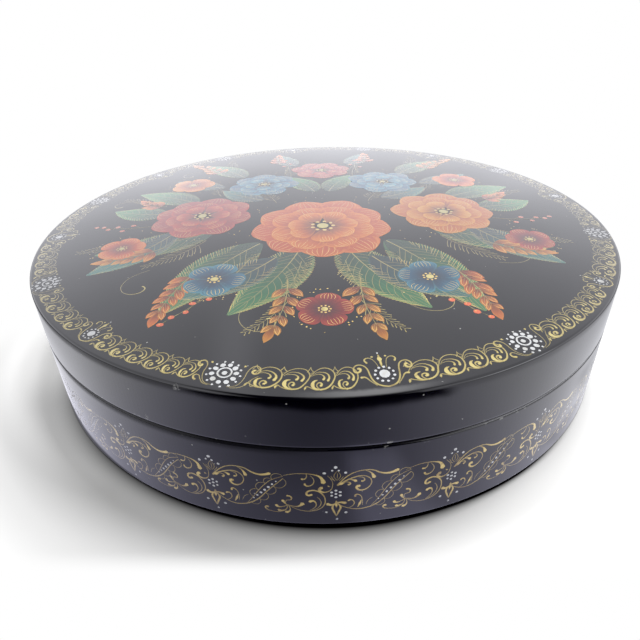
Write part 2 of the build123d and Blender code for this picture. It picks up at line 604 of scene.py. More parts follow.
def spin_piece(name, profile, closed, steps):
    """Extrudes a profile of (radius, height) points and spins it round the box's axis."""
    start_clean()
    bpy.ops.mesh.primitive_plane_add(size=MM)
    piece = bpy.context.object
    piece.name = name
    piece.data.name = name
    bpy.ops.object.mode_set(mode="EDIT")
    bpy.ops.mesh.select_all(action="SELECT")
    bpy.ops.mesh.merge(type="CENTER")
    bpy.ops.transform.translate(value=(profile[0][0], 0, profile[0][1]))
    for (r0, z0), (r1, z1) in zip(profile, profile[1:]):
        bpy.ops.mesh.extrude_vertices_move(
            TRANSFORM_OT_translate={"value": (r1 - r0, 0, z1 - z0)}
        )
    bpy.ops.mesh.select_all(action="SELECT")
    if closed:
        bpy.ops.object.mode_set(mode="OBJECT")
        for vertex in piece.data.vertices:
            vertex.select = vertex.index in (0, len(profile) - 1)
        bpy.ops.object.mode_set(mode="EDIT")
        bpy.ops.mesh.edge_face_add()
        bpy.ops.mesh.select_all(action="SELECT")
    bpy.ops.mesh.spin(steps=steps, angle=TURN, center=(0, 0, 0), axis=(0, 0, 1))
    bpy.ops.mesh.select_all(action="SELECT")
    bpy.ops.mesh.remove_doubles(threshold=MERGE)
    bpy.ops.mesh.normals_make_consistent(inside=False)
    bpy.ops.object.mode_set(mode="OBJECT")
    bpy.ops.object.shade_smooth_by_angle(angle=SHARP_TURN)
    return piece


def lacquer_faces(piece, is_inside):
    """Gives a piece black lacquer, and red where a face is inside the box."""
    piece.data.materials.clear()
    piece.data.materials.append(material_of("polished_black"))
    piece.data.materials.append(material_of("polished_red"))
    for face in piece.data.polygons:
        face.material_index = int(is_inside(face.center, face.normal))


def shade_seam_edge(piece, sizes, most):
    """Gives the edge that a piece turns towards the seam a painted shade, matt and dark, widest on the
    left.
    """
    piece.data.materials.append(material_of("painted_seam_shade"))
    flat = sizes.radius - sizes.paint_depth - sizes.seam_edge
    for face in piece.data.polygons:
        share = np.interp(face.center.x, (WIDE_AT, WIDE_FROM), (most, MATT_SHARE))
        near = abs(face.center.z - sizes.seam) < share * sizes.seam_edge
        if near and face.center.xy.length > flat:
            face.material_index = MATT_SLOT


def hand_over(piece, body, node=None):
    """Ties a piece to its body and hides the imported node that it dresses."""
    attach(piece, body)
    if node:
        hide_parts(node)


def material_of(name):
    """A finish that an earlier operator made."""
    if name not in bpy.data.materials:
        raise RuntimeError(f"make the finishes first: {name} is missing")
    return bpy.data.materials[name]


def dome_sphere(sizes):
    """Radius of the dome's sphere and the height of its centre."""
    sphere = (sizes.radius**2 + sizes.dome_rise**2) / (2 * sizes.dome_rise)
    return sphere, sizes.crown - sizes.paint_depth - sphere


def dome_height(sizes, radius):
    """Height of the lacquered dome at a distance from the axis."""
    sphere, centre = dome_sphere(sizes)
    return centre + np.sqrt(sphere**2 - np.square(radius))


# Brush strokes, in millimetres on a flat sheet: half widths at start, middle and end
LINE = (0.05, 0.09, 0.05)
FINE = (0.035, 0.06, 0.035)
COMMA = (0.05, 0.1, 0.2)
DROP = (0.06, 0.14, 0.38)
LEAF = (0.05, 0.25, 0.05)
CURL = (0.24, 0.1, 0.05)
TIP = 0.02
SECTION, STROKE_STEPS = 4, 4
ROUND_END = 0.85
EDGE_LOAD = 0.5
LOOSE = 0.035
HANDS_FULL = (0.85, 1.2)


class Brush:
    """Collects strokes and makes them raised paint of a diamond section."""

    def __init__(self, chance=None, full=1.0):
        self.strokes = []
        self.chance = chance
        self.full = full

    def stroke(self, widths, points, closed=False):
        widths = [width * self.full for width in widths]
        if self.chance:
            full = self.chance.uniform(*HANDS_FULL)
            widths = [width * full for width in widths]
            points = [self.chance.normal(point, LOOSE) for point in points]
        self.strokes.append((widths, points, closed))

    def drawn(self, strokes):
        """The mesh of a whole motif, given as half widths and points of each stroke."""
        for widths, points in strokes:
            self.stroke(widths, points)
        return self.mesh()

    def swept(self, widths, points, closed):
        """Points with their half widths; a wide end gets a round tip."""
        places = [np.array(point, float) for point in points]
        radii = list(np.interp(np.linspace(0, 1, len(places)), (0, 0.5, 1), widths))
        if not closed:
            for end, beside in ((0, 1), (-1, -2)):
                away = places[end] - places[beside]
                away /= np.linalg.norm(away)
                tip = places[end] + away * ROUND_END * radii[end]
                at = 0 if end == 0 else len(places)
                places.insert(at, tip)
                radii.insert(at, TIP)
        return places, radii

    def mesh(self):
        """The strokes' vertices, with how loaded the brush was, and their faces."""
        start_clean()
        bpy.ops.curve.primitive_bezier_curve_add()
        line = bpy.context.object.data
        line.splines.clear()
        line.dimensions = "3D"
        line.twist_mode = "Z_UP"
        line.resolution_u = STROKE_STEPS
        line.bevel_depth = 1.0
        line.bevel_resolution = 0
        line.use_fill_caps = True
        for widths, points, closed in self.strokes:
            places, radii = self.swept(widths, points, closed)
            spline = line.splines.new("BEZIER")
            spline.bezier_points.add(len(places) - 1)
            spline.use_cyclic_u = closed
            for knot, place, radius in zip(spline.bezier_points, places, radii):
                knot.co = (*place, 0)
                knot.radius = radius
                knot.handle_left_type = "AUTO"
                knot.handle_right_type = "AUTO"
        bpy.ops.object.convert(target="MESH")
        vertices, faces = take_mesh(bpy.context.object)
        ridge = np.repeat(vertices[:, 2].reshape(-1, SECTION).max(axis=1), SECTION)
        load = EDGE_LOAD * ridge + (1 - EDGE_LOAD) * np.maximum(vertices[:, 2], 0)
        return np.column_stack([vertices, load]), faces


def both_sides(strokes):
    """Strokes of one half, each followed by its mirror image."""
    pairs = []
    for widths, points in strokes:
        pairs += [(widths, points), (widths, [(-x, y) for x, y in points])]
    return pairs


def take_mesh(piece):
    """Vertices and faces of a piece, which is then removed."""
    mesh = piece.data
    vertices = np.empty(len(mesh.vertices) * 3)
    mesh.vertices.foreach_get("co", vertices)
    faces = [tuple(face.vertices) for face in mesh.polygons]
    bpy.data.objects.remove(piece)
    bpy.data.meshes.remove(mesh)
    return vertices.reshape(-1, 3), faces


STROKE_HEIGHT, BEAD_HEIGHT = 0.015, 0.03
PAINT_LIFT = 0.003
MOST_HEIGHT = 0.008
BEAD_UNEVEN = (0.88, 1.12)
# Waves of a hand's wobble in radians for each millimetre: two bend x and two bend y
WOBBLE_WAVES = (0.9, 0.55, 0.8, 0.5)


def relief(motif, lift=PAINT_LIFT):
    """A motif with its strokes flattened to heights above the lacquer."""
    vertices, faces = motif
    flat = vertices.copy()
    flat[:, 2] = np.clip(flat[:, 2] * STROKE_HEIGHT, -MOST_HEIGHT, MOST_HEIGHT) + lift
    return flat, faces


def hand_wobble(vertices, chance, amount):
    """Bends one copy of a motif a little, as a hand would."""
    phases = chance.uniform(0, TURN, len(WOBBLE_WAVES))
    x, y = vertices[:, 0], vertices[:, 1]
    waves = [
        np.sin(wave * flat + phase)
        for wave, flat, phase in zip(WOBBLE_WAVES, (y, x, x, y), phases)
    ]
    bent = vertices.copy()
    bent[:, 0] += amount * (waves[0] + waves[1])
    bent[:, 1] += amount * (waves[2] + waves[3])
    return bent


def turned_out(radius, around, up, vertices):
    """Points at a radius and an angle from the front, with what else the vertices carry."""
    return np.column_stack([radius * np.sin(around), -radius * np.cos(around), up, vertices[:, 3:]])


def on_rim(sizes, ring_radius, vertices, turn):
    """Flat (along, towards the middle, height, load) points laid on the lid's border."""
    radius = ring_radius - vertices[:, 1] * MM
    around = turn + vertices[:, 0] * MM / ring_radius
    up = dome_height(sizes, radius) + vertices[:, 2] * MM
    return turned_out(radius, around, up, vertices)


def on_wall(sizes, vertices, turn):
    """Flat (along, up, height, load) points laid round the base's wall."""
    out = sizes.radius - sizes.paint_depth
    around = turn + vertices[:, 0] * MM / out
    return turned_out(out + vertices[:, 2] * MM, around, vertices[:, 1] * MM, vertices)


def on_dome(sizes, vertices):
    """Flat (right, away, height, load) points laid on the lid's dome."""
    flat = vertices[:, :2] * MM
    up = dome_height(sizes, np.hypot(flat[:, 0], flat[:, 1])) + vertices[:, 2] * MM
    return np.column_stack([flat, up, vertices[:, 3:]])


def flush_ways(sizes, places, body):
    """Normals of the lacquer below: paint under clear lacquer shows no relief of its own."""
    ways = places.copy()
    ways[:, 2] = places[:, 2] - dome_sphere(sizes)[1] if body == "lid" else 0
    return ways / np.linalg.norm(ways, axis=1)[:, None]


def smooth_piece(name, places, faces, finish, attribute, values):
    """A piece of paint from places in metres, with one value for each place."""
    start_clean()
    mesh = bpy.data.meshes.new(name)
    mesh.from_pydata(places.tolist(), [], faces)
    mesh.polygons.foreach_set("use_smooth", [True] * len(faces))
    mesh.attributes.new(attribute, "FLOAT", "POINT").data.foreach_set("value", values)
    mesh.materials.append(material_of(finish))
    piece = bpy.data.objects.new(name, mesh)
    bpy.context.collection.objects.link(piece)
    return piece


def painted_piece(name, copies, finish, body):
    """One piece of paint from copies of (vertices, faces) in metres."""
    faces = []
    used = 0
    for vertices, corners in copies:
        faces.extend(tuple(used + i for i in face) for face in corners)
        used += len(vertices)
    joined = np.concatenate([vertices for vertices, _ in copies])
    piece = smooth_piece(name, joined[:, :3], faces, finish, LOAD, joined[:, 3])
    ways = flush_ways(bpy.context.scene.lacquer_sizes, joined[:, :3], body)
    piece.data.normals_split_custom_set_from_vertices(ways.tolist())
    hand_over(piece, body)


def bead_template():
    """A bead of radius 1."""
    start_clean()
    bpy.ops.mesh.primitive_uv_sphere_add(segments=10, ring_count=6, radius=1)
    return take_mesh(bpy.context.object)


def dots(template, places, chance):
    """Flattened beads at (x, y, half width, half length, turn), each a little uneven."""
    beads, faces = template
    made = []
    for x, y, wide, tall, turn in places:
        wide *= chance.uniform(*BEAD_UNEVEN)
        tall *= chance.uniform(*BEAD_UNEVEN)
        across, along = beads[:, 0] * wide, beads[:, 1] * tall
        height = beads[:, 2] * BEAD_HEIGHT * min(wide, tall)
        vertices = [
            x + across * math.cos(turn) - along * math.sin(turn),
            y + across * math.sin(turn) + along * math.cos(turn),
            np.clip(height, -MOST_HEIGHT, MOST_HEIGHT) + PAINT_LIFT,
            np.ones(len(beads)),
        ]
        made.append(np.column_stack(vertices))
    corners = [
        tuple(i + k * len(beads) for i in face) for k in range(len(made)) for face in faces
    ]
    return np.concatenate(made), corners


# Motifs of the lid's border: x along the rim, y towards the lid's middle, from the ring.
# Each stroke is its half widths and its points

SCROLL_WIDTH = 4.95
SCROLL_FOOT = -3.0
SCROLL_HANDS = 5

# One running scroll: a big arc that curls under into a leaf, with two inner commas
SCROLL = [
    ((0.08, 0.112, 0.19),
     [(-2.5, 0.05), (-1.65, 1.35), (-0.6, 2.15), (0.5, 2.33), (1.55, 1.95), (2.2, 1.2), (2.42, 0.3),
      (2.2, -0.75), (1.6, -1.85), (0.7, -2.7), (-0.35, -3.0)]),
    ((0.1, 0.34, 0.1), [(-0.3, -3.0), (-1.3, -2.65), (-1.75, -1.75), (-1.5, -0.95), (-0.9, -0.7)]),
    ((0.28, 0.13, 0.1),
     [(-0.25, -2.1), (0.0, -1.65), (-0.5, -1.3), (-0.98, -1.8), (-0.8, -2.5), (-0.3, -3.0)]),
    ((0.06, 0.11, 0.29),
     [(-2.05, 0.25), (-1.2, 1.15), (-0.1, 1.3), (0.95, 0.8), (1.45, -0.1), (1.15, -0.95)]),
    ((0.05, 0.1, 0.25), [(-1.7, 0.55), (-0.7, 0.75), (0.05, 0.5), (0.45, -0.1), (0.25, -0.6)]),
    ((0.14, 0.085, 0.13), [(-0.4, -3.0), (-1.3, -2.98), (-2.3, -2.5), (-2.95, -2.2), (-3.2, -2.8)]),
    ((0.08, 0.22, 0.08), [(-2.9, -2.35), (-3.15, -2.6), (-3.25, -3.0)]),
    ((0.1, 0.09, 0.07), [(-3.0, 1.4), (-2.7, 1.85), (-2.4, 2.6)]),
    ((0.1, 0.09, 0.07), [(-1.75, 1.5), (-2.1, 1.85), (-2.4, 2.6)]),
    (FINE, [(-2.85, 1.4), (-2.4, 0.95), (-1.85, 1.4)]),
]

# Gold stems that cup a white rosette, with a curl each side
ROSETTE_STEMS = [
    (CURL,
     [(-4.75, 1.25), (-4.9, 0.75), (-5.55, 1.2), (-5.4, 2.0), (-4.7, 2.3), (-3.95, 1.7), (-3.68, 0.75),
      (-3.7, -0.4), (-3.5, -1.4), (-3.0, -2.4), (-2.25, -3.05), (-1.1, -3.2)]),
    (CURL,
     [(-4.35, -2.65), (-4.85, -2.3), (-4.85, -1.6), (-4.25, -1.45), (-3.5, -2.35), (-2.7, -3.1),
      (-1.7, -3.35)]),
    (CURL,
     [(5.15, 1.55), (4.75, 1.2), (5.0, 0.7), (5.6, 0.7), (6.05, 1.4), (5.75, 2.3), (4.95, 2.6),
      (4.25, 2.0), (3.9, 0.9), (3.75, -0.5), (3.4, -1.85), (2.75, -2.8), (1.5, -3.25)]),
    (LINE, [(2.0, -3.4), (3.65, -2.9), (4.4, -1.9), (5.1, -0.8), (6.0, 0.1)]),
    (LINE, [(5.1, -0.8), (4.95, -1.9), (5.35, -2.5), (5.75, -1.95), (5.85, -1.0)]),
    ((0.06, 0.26, 0.06), [(-3.05, 2.0), (-3.25, 2.25), (-3.5, 2.4)]),
    ((0.06, 0.26, 0.06), [(2.95, 2.0), (3.1, 2.25), (3.3, 2.4)]),
]

# Half of a gold cup with curled ends and plumes, its spear leaf, and half of the buds beside it
TULIP_CUP = [
    ((0.26, 0.13, 0.17),
     [(4.4, 1.75), (4.02, 1.6), (4.15, 1.0), (4.8, 0.8), (5.2, 1.45), (4.95, 2.3), (4.2, 2.65),
      (3.3, 2.3), (2.78, 1.4), (2.55, 0.0), (2.2, -1.35), (1.4, -2.5), (0.0, -3.05)]),
    ((0.08, 0.12, 0.24), [(1.75, -2.6), (2.7, -1.4), (3.45, -0.5), (4.1, -0.5)]),
    (COMMA, [(0.7, 1.5), (0.95, 2.9), (1.5, 3.95), (2.2, 4.25), (2.85, 3.75), (2.55, 2.95)]),
]
TULIP_SPEAR = [
    ((0.06, 0.3, 0.12), [(-0.1, 1.65), (-0.05, 2.6), (0.0, 3.7), (0.02, 4.95)]),
    ((0.08, 0.46, 0.08), [(-0.02, 3.0), (0.0, 3.8), (0.02, 4.6)]),
]
TULIP_BUDS = [
    ((0.08, 0.28, 0.08), [(1.2, 4.3), (1.25, 4.5), (1.25, 4.7)]),
]


# White of the motifs. A dot is x, y, half width, half length and turn. A ring of dots is their
# number, the half width, half height and lift of its oval, and the dots' radius and first angle
ROSETTE_EYE = (0, 0, 0.5, 0.46, 0)
RING_OVAL, RING_KNOTS, RING_BRUSH = (1.25, 1.2), 8, (0.15, 0.17, 0.15)
DROPS, DROP_OVAL, DROP_LIFT, DROP_FIRST, DROP_DOT = 10, (2.15, 2.2), -0.15, 0.2, (0.5, 0.47)
ROSETTE_DOTS = (13, 2.98, 3.1, -0.25, 0.23)
TULIP_OVAL, TULIP_TIP = (0, 0.05, 0.92, 1.05, 0), (0, 5.4, 0.16, 0.2, 0)
TULIP_DOTS = (11, 1.66, 1.78, 0.0, 0.25, -0.28)


def rosette_ring():
    """White ring round a rosette's eye."""
    brush = Brush()
    wide, tall = RING_OVAL
    turns = np.linspace(0, TURN, RING_KNOTS + 1)[:-1]
    ring = [(wide * math.cos(turn), tall * math.sin(turn)) for turn in turns]
    brush.stroke(RING_BRUSH, ring, closed=True)
    return brush.mesh()


def dot_ring(number, wide, tall, lift, size, first=0.0):
    """Round dots on an oval, from an angle on."""
    return [
        (wide * math.cos(turn), tall * math.sin(turn) + lift, size, size, 0)
        for turn in np.arange(number) * TURN / number + first
    ]


def rosette_dots():
    """A white eye, drop petals and a ring of small outer dots."""
    places = [ROSETTE_EYE]
    wide, tall = DROP_OVAL
    for turn in np.arange(DROPS) * TURN / DROPS + DROP_FIRST:
        point = (wide * math.cos(turn), tall * math.sin(turn) + DROP_LIFT)
        places.append((*point, *DROP_DOT, turn))
    return places + dot_ring(*ROSETTE_DOTS)


def tulip_dots():
    """A white oval in a ring of small dots, and a dot on the spear leaf's tip."""
    return [TULIP_OVAL, TULIP_TIP, *dot_ring(*TULIP_DOTS)]


# The base's band: x along the wall, y the height above the table

BAND_FULL = 1.1

# Arching stems, leaves and curls above a band unit's dot cluster
BAND_UPPER = [
    ((0.118, 0.096, 0.3),
     [(0.25, 11.05), (0.95, 12.05), (2.15, 13.45), (3.55, 14.35), (5.35, 14.65), (6.95, 14.35),
      (8.15, 13.6), (9.35, 13.25), (10.55, 13.4), (11.5, 13.8)]),
    ((0.037, 0.118, 0.34), [(5.3, 14.6), (6.35, 13.85), (7.0, 12.5)]),
    ((0.148, 0.081, 0.28),
     [(0.3, 11.0), (1.55, 12.05), (3.15, 12.95), (4.65, 13.25), (5.85, 12.75), (6.5, 11.65),
      (6.35, 10.55), (5.55, 9.65), (4.55, 9.45), (3.85, 10.0), (3.85, 10.6), (4.3, 10.6)]),
    ((0.074, 0.32, 0.059), [(0.35, 11.1), (0.95, 11.45), (1.6, 11.8)]),
    (COMMA, [(1.4, 11.8), (2.1, 11.85), (2.6, 11.45), (2.25, 11.1)]),
    ((0.037, 0.148, 0.3), [(2.4, 12.5), (3.0, 12.35), (3.6, 12.0)]),
    (COMMA, [(4.1, 13.0), (5.0, 12.65), (5.1, 11.9), (4.65, 11.8)]),
    ((0.044, 0.111, 0.42),
     [(-9.55, 13.4), (-7.85, 13.95), (-5.85, 14.2), (-4.05, 14.0), (-2.85, 13.35), (-2.4, 12.45),
      (-2.25, 11.8)]),
    (COMMA, [(-5.3, 14.1), (-5.35, 13.3), (-5.8, 12.75), (-6.3, 12.75)]),
    (COMMA, [(-4.6, 13.7), (-4.1, 12.9), (-4.1, 11.8), (-4.8, 11.05), (-5.55, 11.05), (-5.8, 11.5)]),
    ((0.037, 0.089, 0.34),
     [(-1.0, 12.8), (-0.6, 11.9), (-0.6, 10.8), (-0.85, 9.9), (-1.65, 9.3), (-2.6, 9.4), (-3.0, 10.0),
      (-2.6, 10.5)]),
    ((0.037, 0.148, 0.044), [(-1.5, 11.0), (-1.3, 10.8), (-1.05, 10.7)]),
]

# The fine leaf bud over a band unit's cluster
BAND_SPRIG = [
    (FINE, [(0.26, 12.4), (-0.34, 13.5), (0.2, 14.75)]),
    (FINE, [(0.26, 12.4), (0.86, 13.5), (0.3, 14.75)]),
    (FINE, [(0.26, 12.9), (0.28, 13.6), (0.26, 14.2)]),
    (FINE, [(-0.1, 12.3), (-0.9, 12.9), (-1.45, 13.6)]),
    (FINE, [(-0.15, 12.2), (-0.6, 13.0), (-0.85, 13.5)]),
    (FINE, [(0.6, 12.3), (1.15, 12.95), (1.35, 13.4)]),
]

# The pointed leaf, C-scrolls and palmette below a band unit's cluster
BAND_LOWER = [
    ((0.34, 0.148, 0.118), [(-1.6, 5.9), (-0.8, 5.65), (0.0, 6.1), (0.12, 6.7)]),
    ((0.32, 0.148, 0.118), [(1.8, 6.0), (1.0, 6.25), (0.3, 6.3), (0.12, 6.7)]),
    ((0.089, 0.24, 0.059), [(0.0, 6.2), (-0.68, 5.0), (-0.4, 3.7), (0.08, 2.45)]),
    ((0.089, 0.24, 0.059), [(0.2, 6.2), (0.86, 5.0), (0.5, 3.7), (0.08, 2.45)]),
    (LEAF, [(0.05, 6.3), (0.08, 5.6), (0.08, 4.9)]),
    ((0.052, 0.111, 0.24),
     [(-9.05, 5.55), (-7.85, 4.5), (-6.45, 3.9), (-4.85, 3.85), (-3.25, 4.45), (-2.25, 5.65),
      (-1.95, 7.1), (-2.45, 8.65), (-3.55, 9.6), (-4.75, 9.65), (-5.45, 9.05), (-5.25, 8.3),
      (-4.5, 8.5)]),
    (LINE, [(-4.65, 4.0), (-3.45, 4.85), (-2.8, 6.05), (-2.95, 7.15), (-3.45, 7.85)]),
    ((0.044, 0.104, 0.3), [(-5.05, 4.05), (-4.05, 4.95), (-3.75, 5.95), (-4.25, 6.75), (-4.95, 6.5)]),
    (DROP, [(-8.65, 5.35), (-7.5, 5.05), (-6.7, 5.45), (-6.3, 5.9)]),
    ((0.074, 0.148, 0.3), [(-9.2, 5.4), (-9.7, 6.0), (-9.95, 6.6)]),
    (COMMA, [(-9.5, 5.9), (-9.2, 6.75), (-8.4, 6.95), (-8.4, 7.8), (-9.05, 8.05)]),
    ((0.059, 0.104, 0.32), [(-9.1, 5.4), (-10.1, 4.85), (-10.9, 4.7), (-11.35, 5.05)]),
    ((0.059, 0.104, 0.32), [(-9.0, 5.3), (-8.75, 4.4), (-9.0, 3.6), (-9.55, 3.35)]),
    ((0.059, 0.104, 0.3), [(-9.2, 5.2), (-9.5, 4.2), (-10.3, 3.7), (-10.95, 3.75)]),
    ((0.044, 0.081, 0.24),
     [(-9.6, 3.9), (-11.0, 3.2), (-12.4, 3.3), (-13.4, 3.7), (-13.5, 4.3), (-13.0, 4.4)]),
    (COMMA, [(2.3, 4.55), (3.25, 5.3), (3.35, 6.4), (2.7, 6.85), (2.4, 6.6)]),
    ((0.037, 0.22, 0.037), [(4.0, 4.6), (4.45, 5.7), (4.8, 6.75)]),
    (COMMA, [(4.9, 5.2), (4.9, 6.9), (4.4, 8.1), (3.75, 8.2), (3.6, 7.7)]),
    (FINE, [(5.6, 5.3), (6.0, 6.4), (6.9, 7.2)]),
]

# Edges of the slanting ribbon between two band units
RIBBON_LOWER = [
    (0.95, 5.4), (2.35, 4.55), (3.95, 4.1), (5.55, 4.3), (7.35, 5.1), (8.95, 6.5), (10.4, 8.4),
    (11.95, 10.45), (13.9, 12.65),
]
RIBBON_UPPER = [(6.6, 4.95), (8.0, 6.9), (9.2, 8.9), (10.5, 10.85), (11.8, 12.2), (13.9, 13.2)]
RIBBON_EDGES = (((0.074, 0.126, 0.074), RIBBON_LOWER), ((0.044, 0.089, 0.044), RIBBON_UPPER))
# Scallops along an edge; in shares of their chord, how far their sides lean in and stand out,
# and how far their tops stand out
SCALLOPED = ((RIBBON_LOWER[4:], 1), (RIBBON_UPPER[1:], -1))
SCALLOPS, SCALLOP_LEAN, SCALLOP_SIDE, SCALLOP_TOP = 4, 0.1, 0.32, 0.5


def band_ribbon():
    """The ribbon's strokes, with scallops along both edges."""
    strokes = list(RIBBON_EDGES)
    share = np.linspace(0, 1, SCALLOPS + 1)
    for edge, side in SCALLOPED:
        known = np.linspace(0, 1, len(edge))
        along = np.column_stack([np.interp(share, known, axis) for axis in zip(*edge)])
        for first, second in zip(along[:-1], along[1:]):
            chord = second - first
            out = side * np.array([chord[1], -chord[0]])
            lean, rise = SCALLOP_LEAN * chord, SCALLOP_SIDE * out
            near, far = first + (lean + rise), second + (rise - lean)
            top = (first + second) / 2 + SCALLOP_TOP * out
            strokes.append((FINE, [first, near, top, far, second]))
    return strokes


# Single dots of a band unit: x, height, radius
BAND_POINTS = (
    (0, 15.8, 0.33), (-0.62, 15.0, 0.2), (0.56, 14.95, 0.22), (-2.05, 14.35, 0.29),
    (1.8, 14.35, 0.29), (-1.85, 3.55, 0.28), (1.86, 3.35, 0.28), (0.16, 1.5, 0.27),
)
CLUSTER_AT = 8.72
CLUSTER_EYE, CLUSTER = (0, CLUSTER_AT, 0.3, 0.28, 0), (6, 0.92, 0.92, CLUSTER_AT, 0.26, TURN / 4)
# The row of dots on a ribbon: its start and run, and their radius at its ends and what the
# middle one has more
ROW_DOTS, ROW_START, ROW_RUN = 7, (8.0, 6.55), (4.6, 5.2)
ROW_DOT, ROW_SWELL = 0.15, 0.14


def band_dots():
    """White clusters, points and the ribbon's row of one band unit."""
    places = [CLUSTER_EYE, *dot_ring(*CLUSTER)]
    places += [(x, y, size, size, 0) for x, y, size in BAND_POINTS]
    for share in np.linspace(0, 1, ROW_DOTS):
        point = (start + run * share for start, run in zip(ROW_START, ROW_RUN))
        size = ROW_DOT + ROW_SWELL * math.sin(math.pi * share)
        places.append((*point, size, size, 0))
    return places


# The lid's floral spray: x to the right, y away from the viewer, from the lid's middle

HAIR = (0.03, 0.05, 0.02)
HATCH = (0.05, 0.04, 0.02)
FROND = (0.03, 0.075, 0.11)
MIDRIB = (0.14, 0.09, 0.03)
SPRIG_STEM, BERRY_STEM, FERN_STEM = (0.12, 0.09, 0.05), (0.1, 0.08, 0.05), (0.09, 0.07, 0.03)
TENDRIL = (0.05, 0.09, 0.2)
# Layers of the spray from the lacquer up; the leaves' own are 0 and on
BARE = -0.6
LEAF_LAYERS = 3
SPRIG_LAYER = 2.5
HEAD_LAYER = 3.5
TOP_LAYER = 6
TINTS = {
    "green": ((0.001, 0.018, 0.007), (0.007, 0.085, 0.03), (0.08, 0.25, 0.07)),
    "teal": ((0.001, 0.014, 0.017), (0.003, 0.06, 0.06), (0.035, 0.19, 0.16)),
    "orange": ((0.08, 0.004, 0.001), (0.32, 0.042, 0.003), (0.56, 0.21, 0.02)),
    "crimson": ((0.035, 0.0, 0.002), (0.17, 0.003, 0.004), (0.4, 0.05, 0.014)),
    "amber": ((0.1, 0.009, 0.0), (0.31, 0.068, 0.003), (0.52, 0.27, 0.028)),
    "blue": ((0.001, 0.01, 0.026), (0.004, 0.055, 0.11), (0.07, 0.27, 0.32)),
}
# Tint, x, y, radius, petals
BLOSSOMS = (
    ("orange", 0, -11, 18, 9), ("crimson", -33, -1, 14, 8), ("amber", 33, -2, 14, 8),
    ("blue", -18, 24, 11, 7), ("blue", 19, 24, 11, 7), ("crimson", 0, 38, 10, 7),
)
# Reach, width and tone of a blossom's rings of petals
PETAL_RINGS = ((1.0, 0.72, 0.12), (0.74, 0.58, 0.34), (0.48, 0.4, 0.6))
# Tint, x, y, radius
FLOWERS = (
    ("blue", -24, -37, 7), ("blue", 23, -38, 7), ("orange", -50, -19, 6), ("crimson", 51, -19, 6),
    ("amber", -41, 27, 7), ("orange", 42, 26, 7), ("crimson", 0, -50, 6),
)
# The right half's marks, all mirrored: tint, x and y of the root, heading in degrees, length,
# width, bend in degrees
LEAVES = (
    ("green", 5, -22, -76, 33, 13, 26), ("green", 15, -20, -50, 36, 13.5, -24),
    ("teal", 11, -28, -58, 27, 10.5, 34), ("green", 28, -12, -34, 30, 12, 24),
    ("teal", 38, -11, -66, 27, 10, 28), ("green", 43, 2, 8, 18, 9.5, 26),
    ("green", 36, 9, 42, 24, 10, -20), ("teal", 17, 9, 24, 17, 8, 20),
    ("green", 25, 32, 58, 24, 9.5, -24), ("teal", 9, 44, 58, 18, 8, 20),
    ("green", 2, 15, 72, 18, 8.5, -20), ("teal", 30, 22, 20, 20, 8, 20),
)
# Tint, x, y, heading, length, bend, pairs of leaflets and their length
SPRIGS = (
    ("amber", 39, -20, -40, 13, 30, 5, 5.0), ("orange", 45, 8, 14, 8, 34, 4, 4.4),
    ("amber", 33, 36, 70, 17, -30, 5, 5.0), ("orange", 28, -32, -62, 18, -20, 6, 5.2),
    ("amber", 8, -38, -96, 18, 24, 5, 4.8), ("orange", 14, 46, 72, 12, 20, 4, 4.4),
)
# x, y, heading, length, bend in radians, number of berries
BERRIES = ((17, -28, -74, 28, 0.5, 8), (45, -6, -12, 15, 0.6, 6), (12, 34, 100, 20, -0.5, 6))
# x, y, heading, size
TENDRILS = ((36, -30, -20, 12), (14, -44, -60, 12), (52, 8, 70, 10), (36, 40, 30, 10))
# x, y, heading, length, bend
FERNS = (
    (20, -3, 40, 15, 30), (13, 6, 75, 14, -26), (5, -30, -84, 16, 14), (29, -17, -62, 18, 34),
    (45, -14, -30, 17, 22), (47, 10, 40, 15, -24), (30, 14, 64, 12, 24), (10, 30, 92, 14, -20),
    (30, 42, 72, 15, 20), (7, -46, -66, 14, 26),
)
# Where along its length a mark is fullest, and how blunt it is
LEAF_SHAPE, PETAL_SHAPE, FLOWER_SHAPE, BUD_SHAPE = (0.42, 0.9), (0.66, 0.72), (0.68, 0.6), (0.5, 1.0)
STRAIGHT = 1e-3
SPINE, MIDRIB_KNOTS, STEM_KNOTS, FERN_KNOTS, TWIG_KNOTS = (0.02, 0.99), 7, 5, 6, 3

# How the marks are drawn. A place on a mark is a share of its length and of its half width, and
# a SPAN is of its length. A TAPER is a value at a stem's root and what it loses by the stem's
# end. A name that ends in OFF is the most by which the hand strays, as an angle or a share
ANY_TURN, TONE_OFF, HEAD_COVERS = 3.0, 0.1, 1.04
LEAF_TONE, LEAF_OFF = 0.3, 0.08
VEIN_SPAN, VEIN_GAP, VEIN = (0.14, 0.82), 2.2, ((0.0, 0.0), (0.07, 0.4), (0.17, 0.78))
HATCH_SPAN, HATCH_GAP, HATCH_EDGE, HATCH_SLANT = (0.12, 0.92), 0.7, 1.02, 0.055
HATCH_LAST, HATCH_DEEP, HATCH_OFF = 0.97, 0.62, 0.12
PETAL_ROOT, PETAL_LONG, PETAL_BEND, PETAL_OFF = 0.1, 0.9, 0.3, 0.06
PETAL_HAIRS, PETAL_FAN = 7, 0.75
HAIR_TIP, HAIR_DEEP, HAIR_SHORTER, HAIR_OFF, HAIR_CLOSES = 0.955, 0.62, 0.22, 0.1, 0.8
FLOWER_PETALS, FLOWER_TONE, FLOWER_WIDE, FLOWER_BEND, FLOWER_OFF = 5, 0.3, 0.92, 0.2, 0.08
FLOWER_HAIRS, FLOWER_FAN, FLOWER_HAIR = 5, 0.6, ((0.94, 1.0), (0.8, 1.0), (0.62, 0.8))
BLOSSOM_EYE, FLOWER_EYE, EYE_BEADS, EYE_GOLD, EYE_CREAM = 0.15, 0.2, 9, 0.62, 0.19
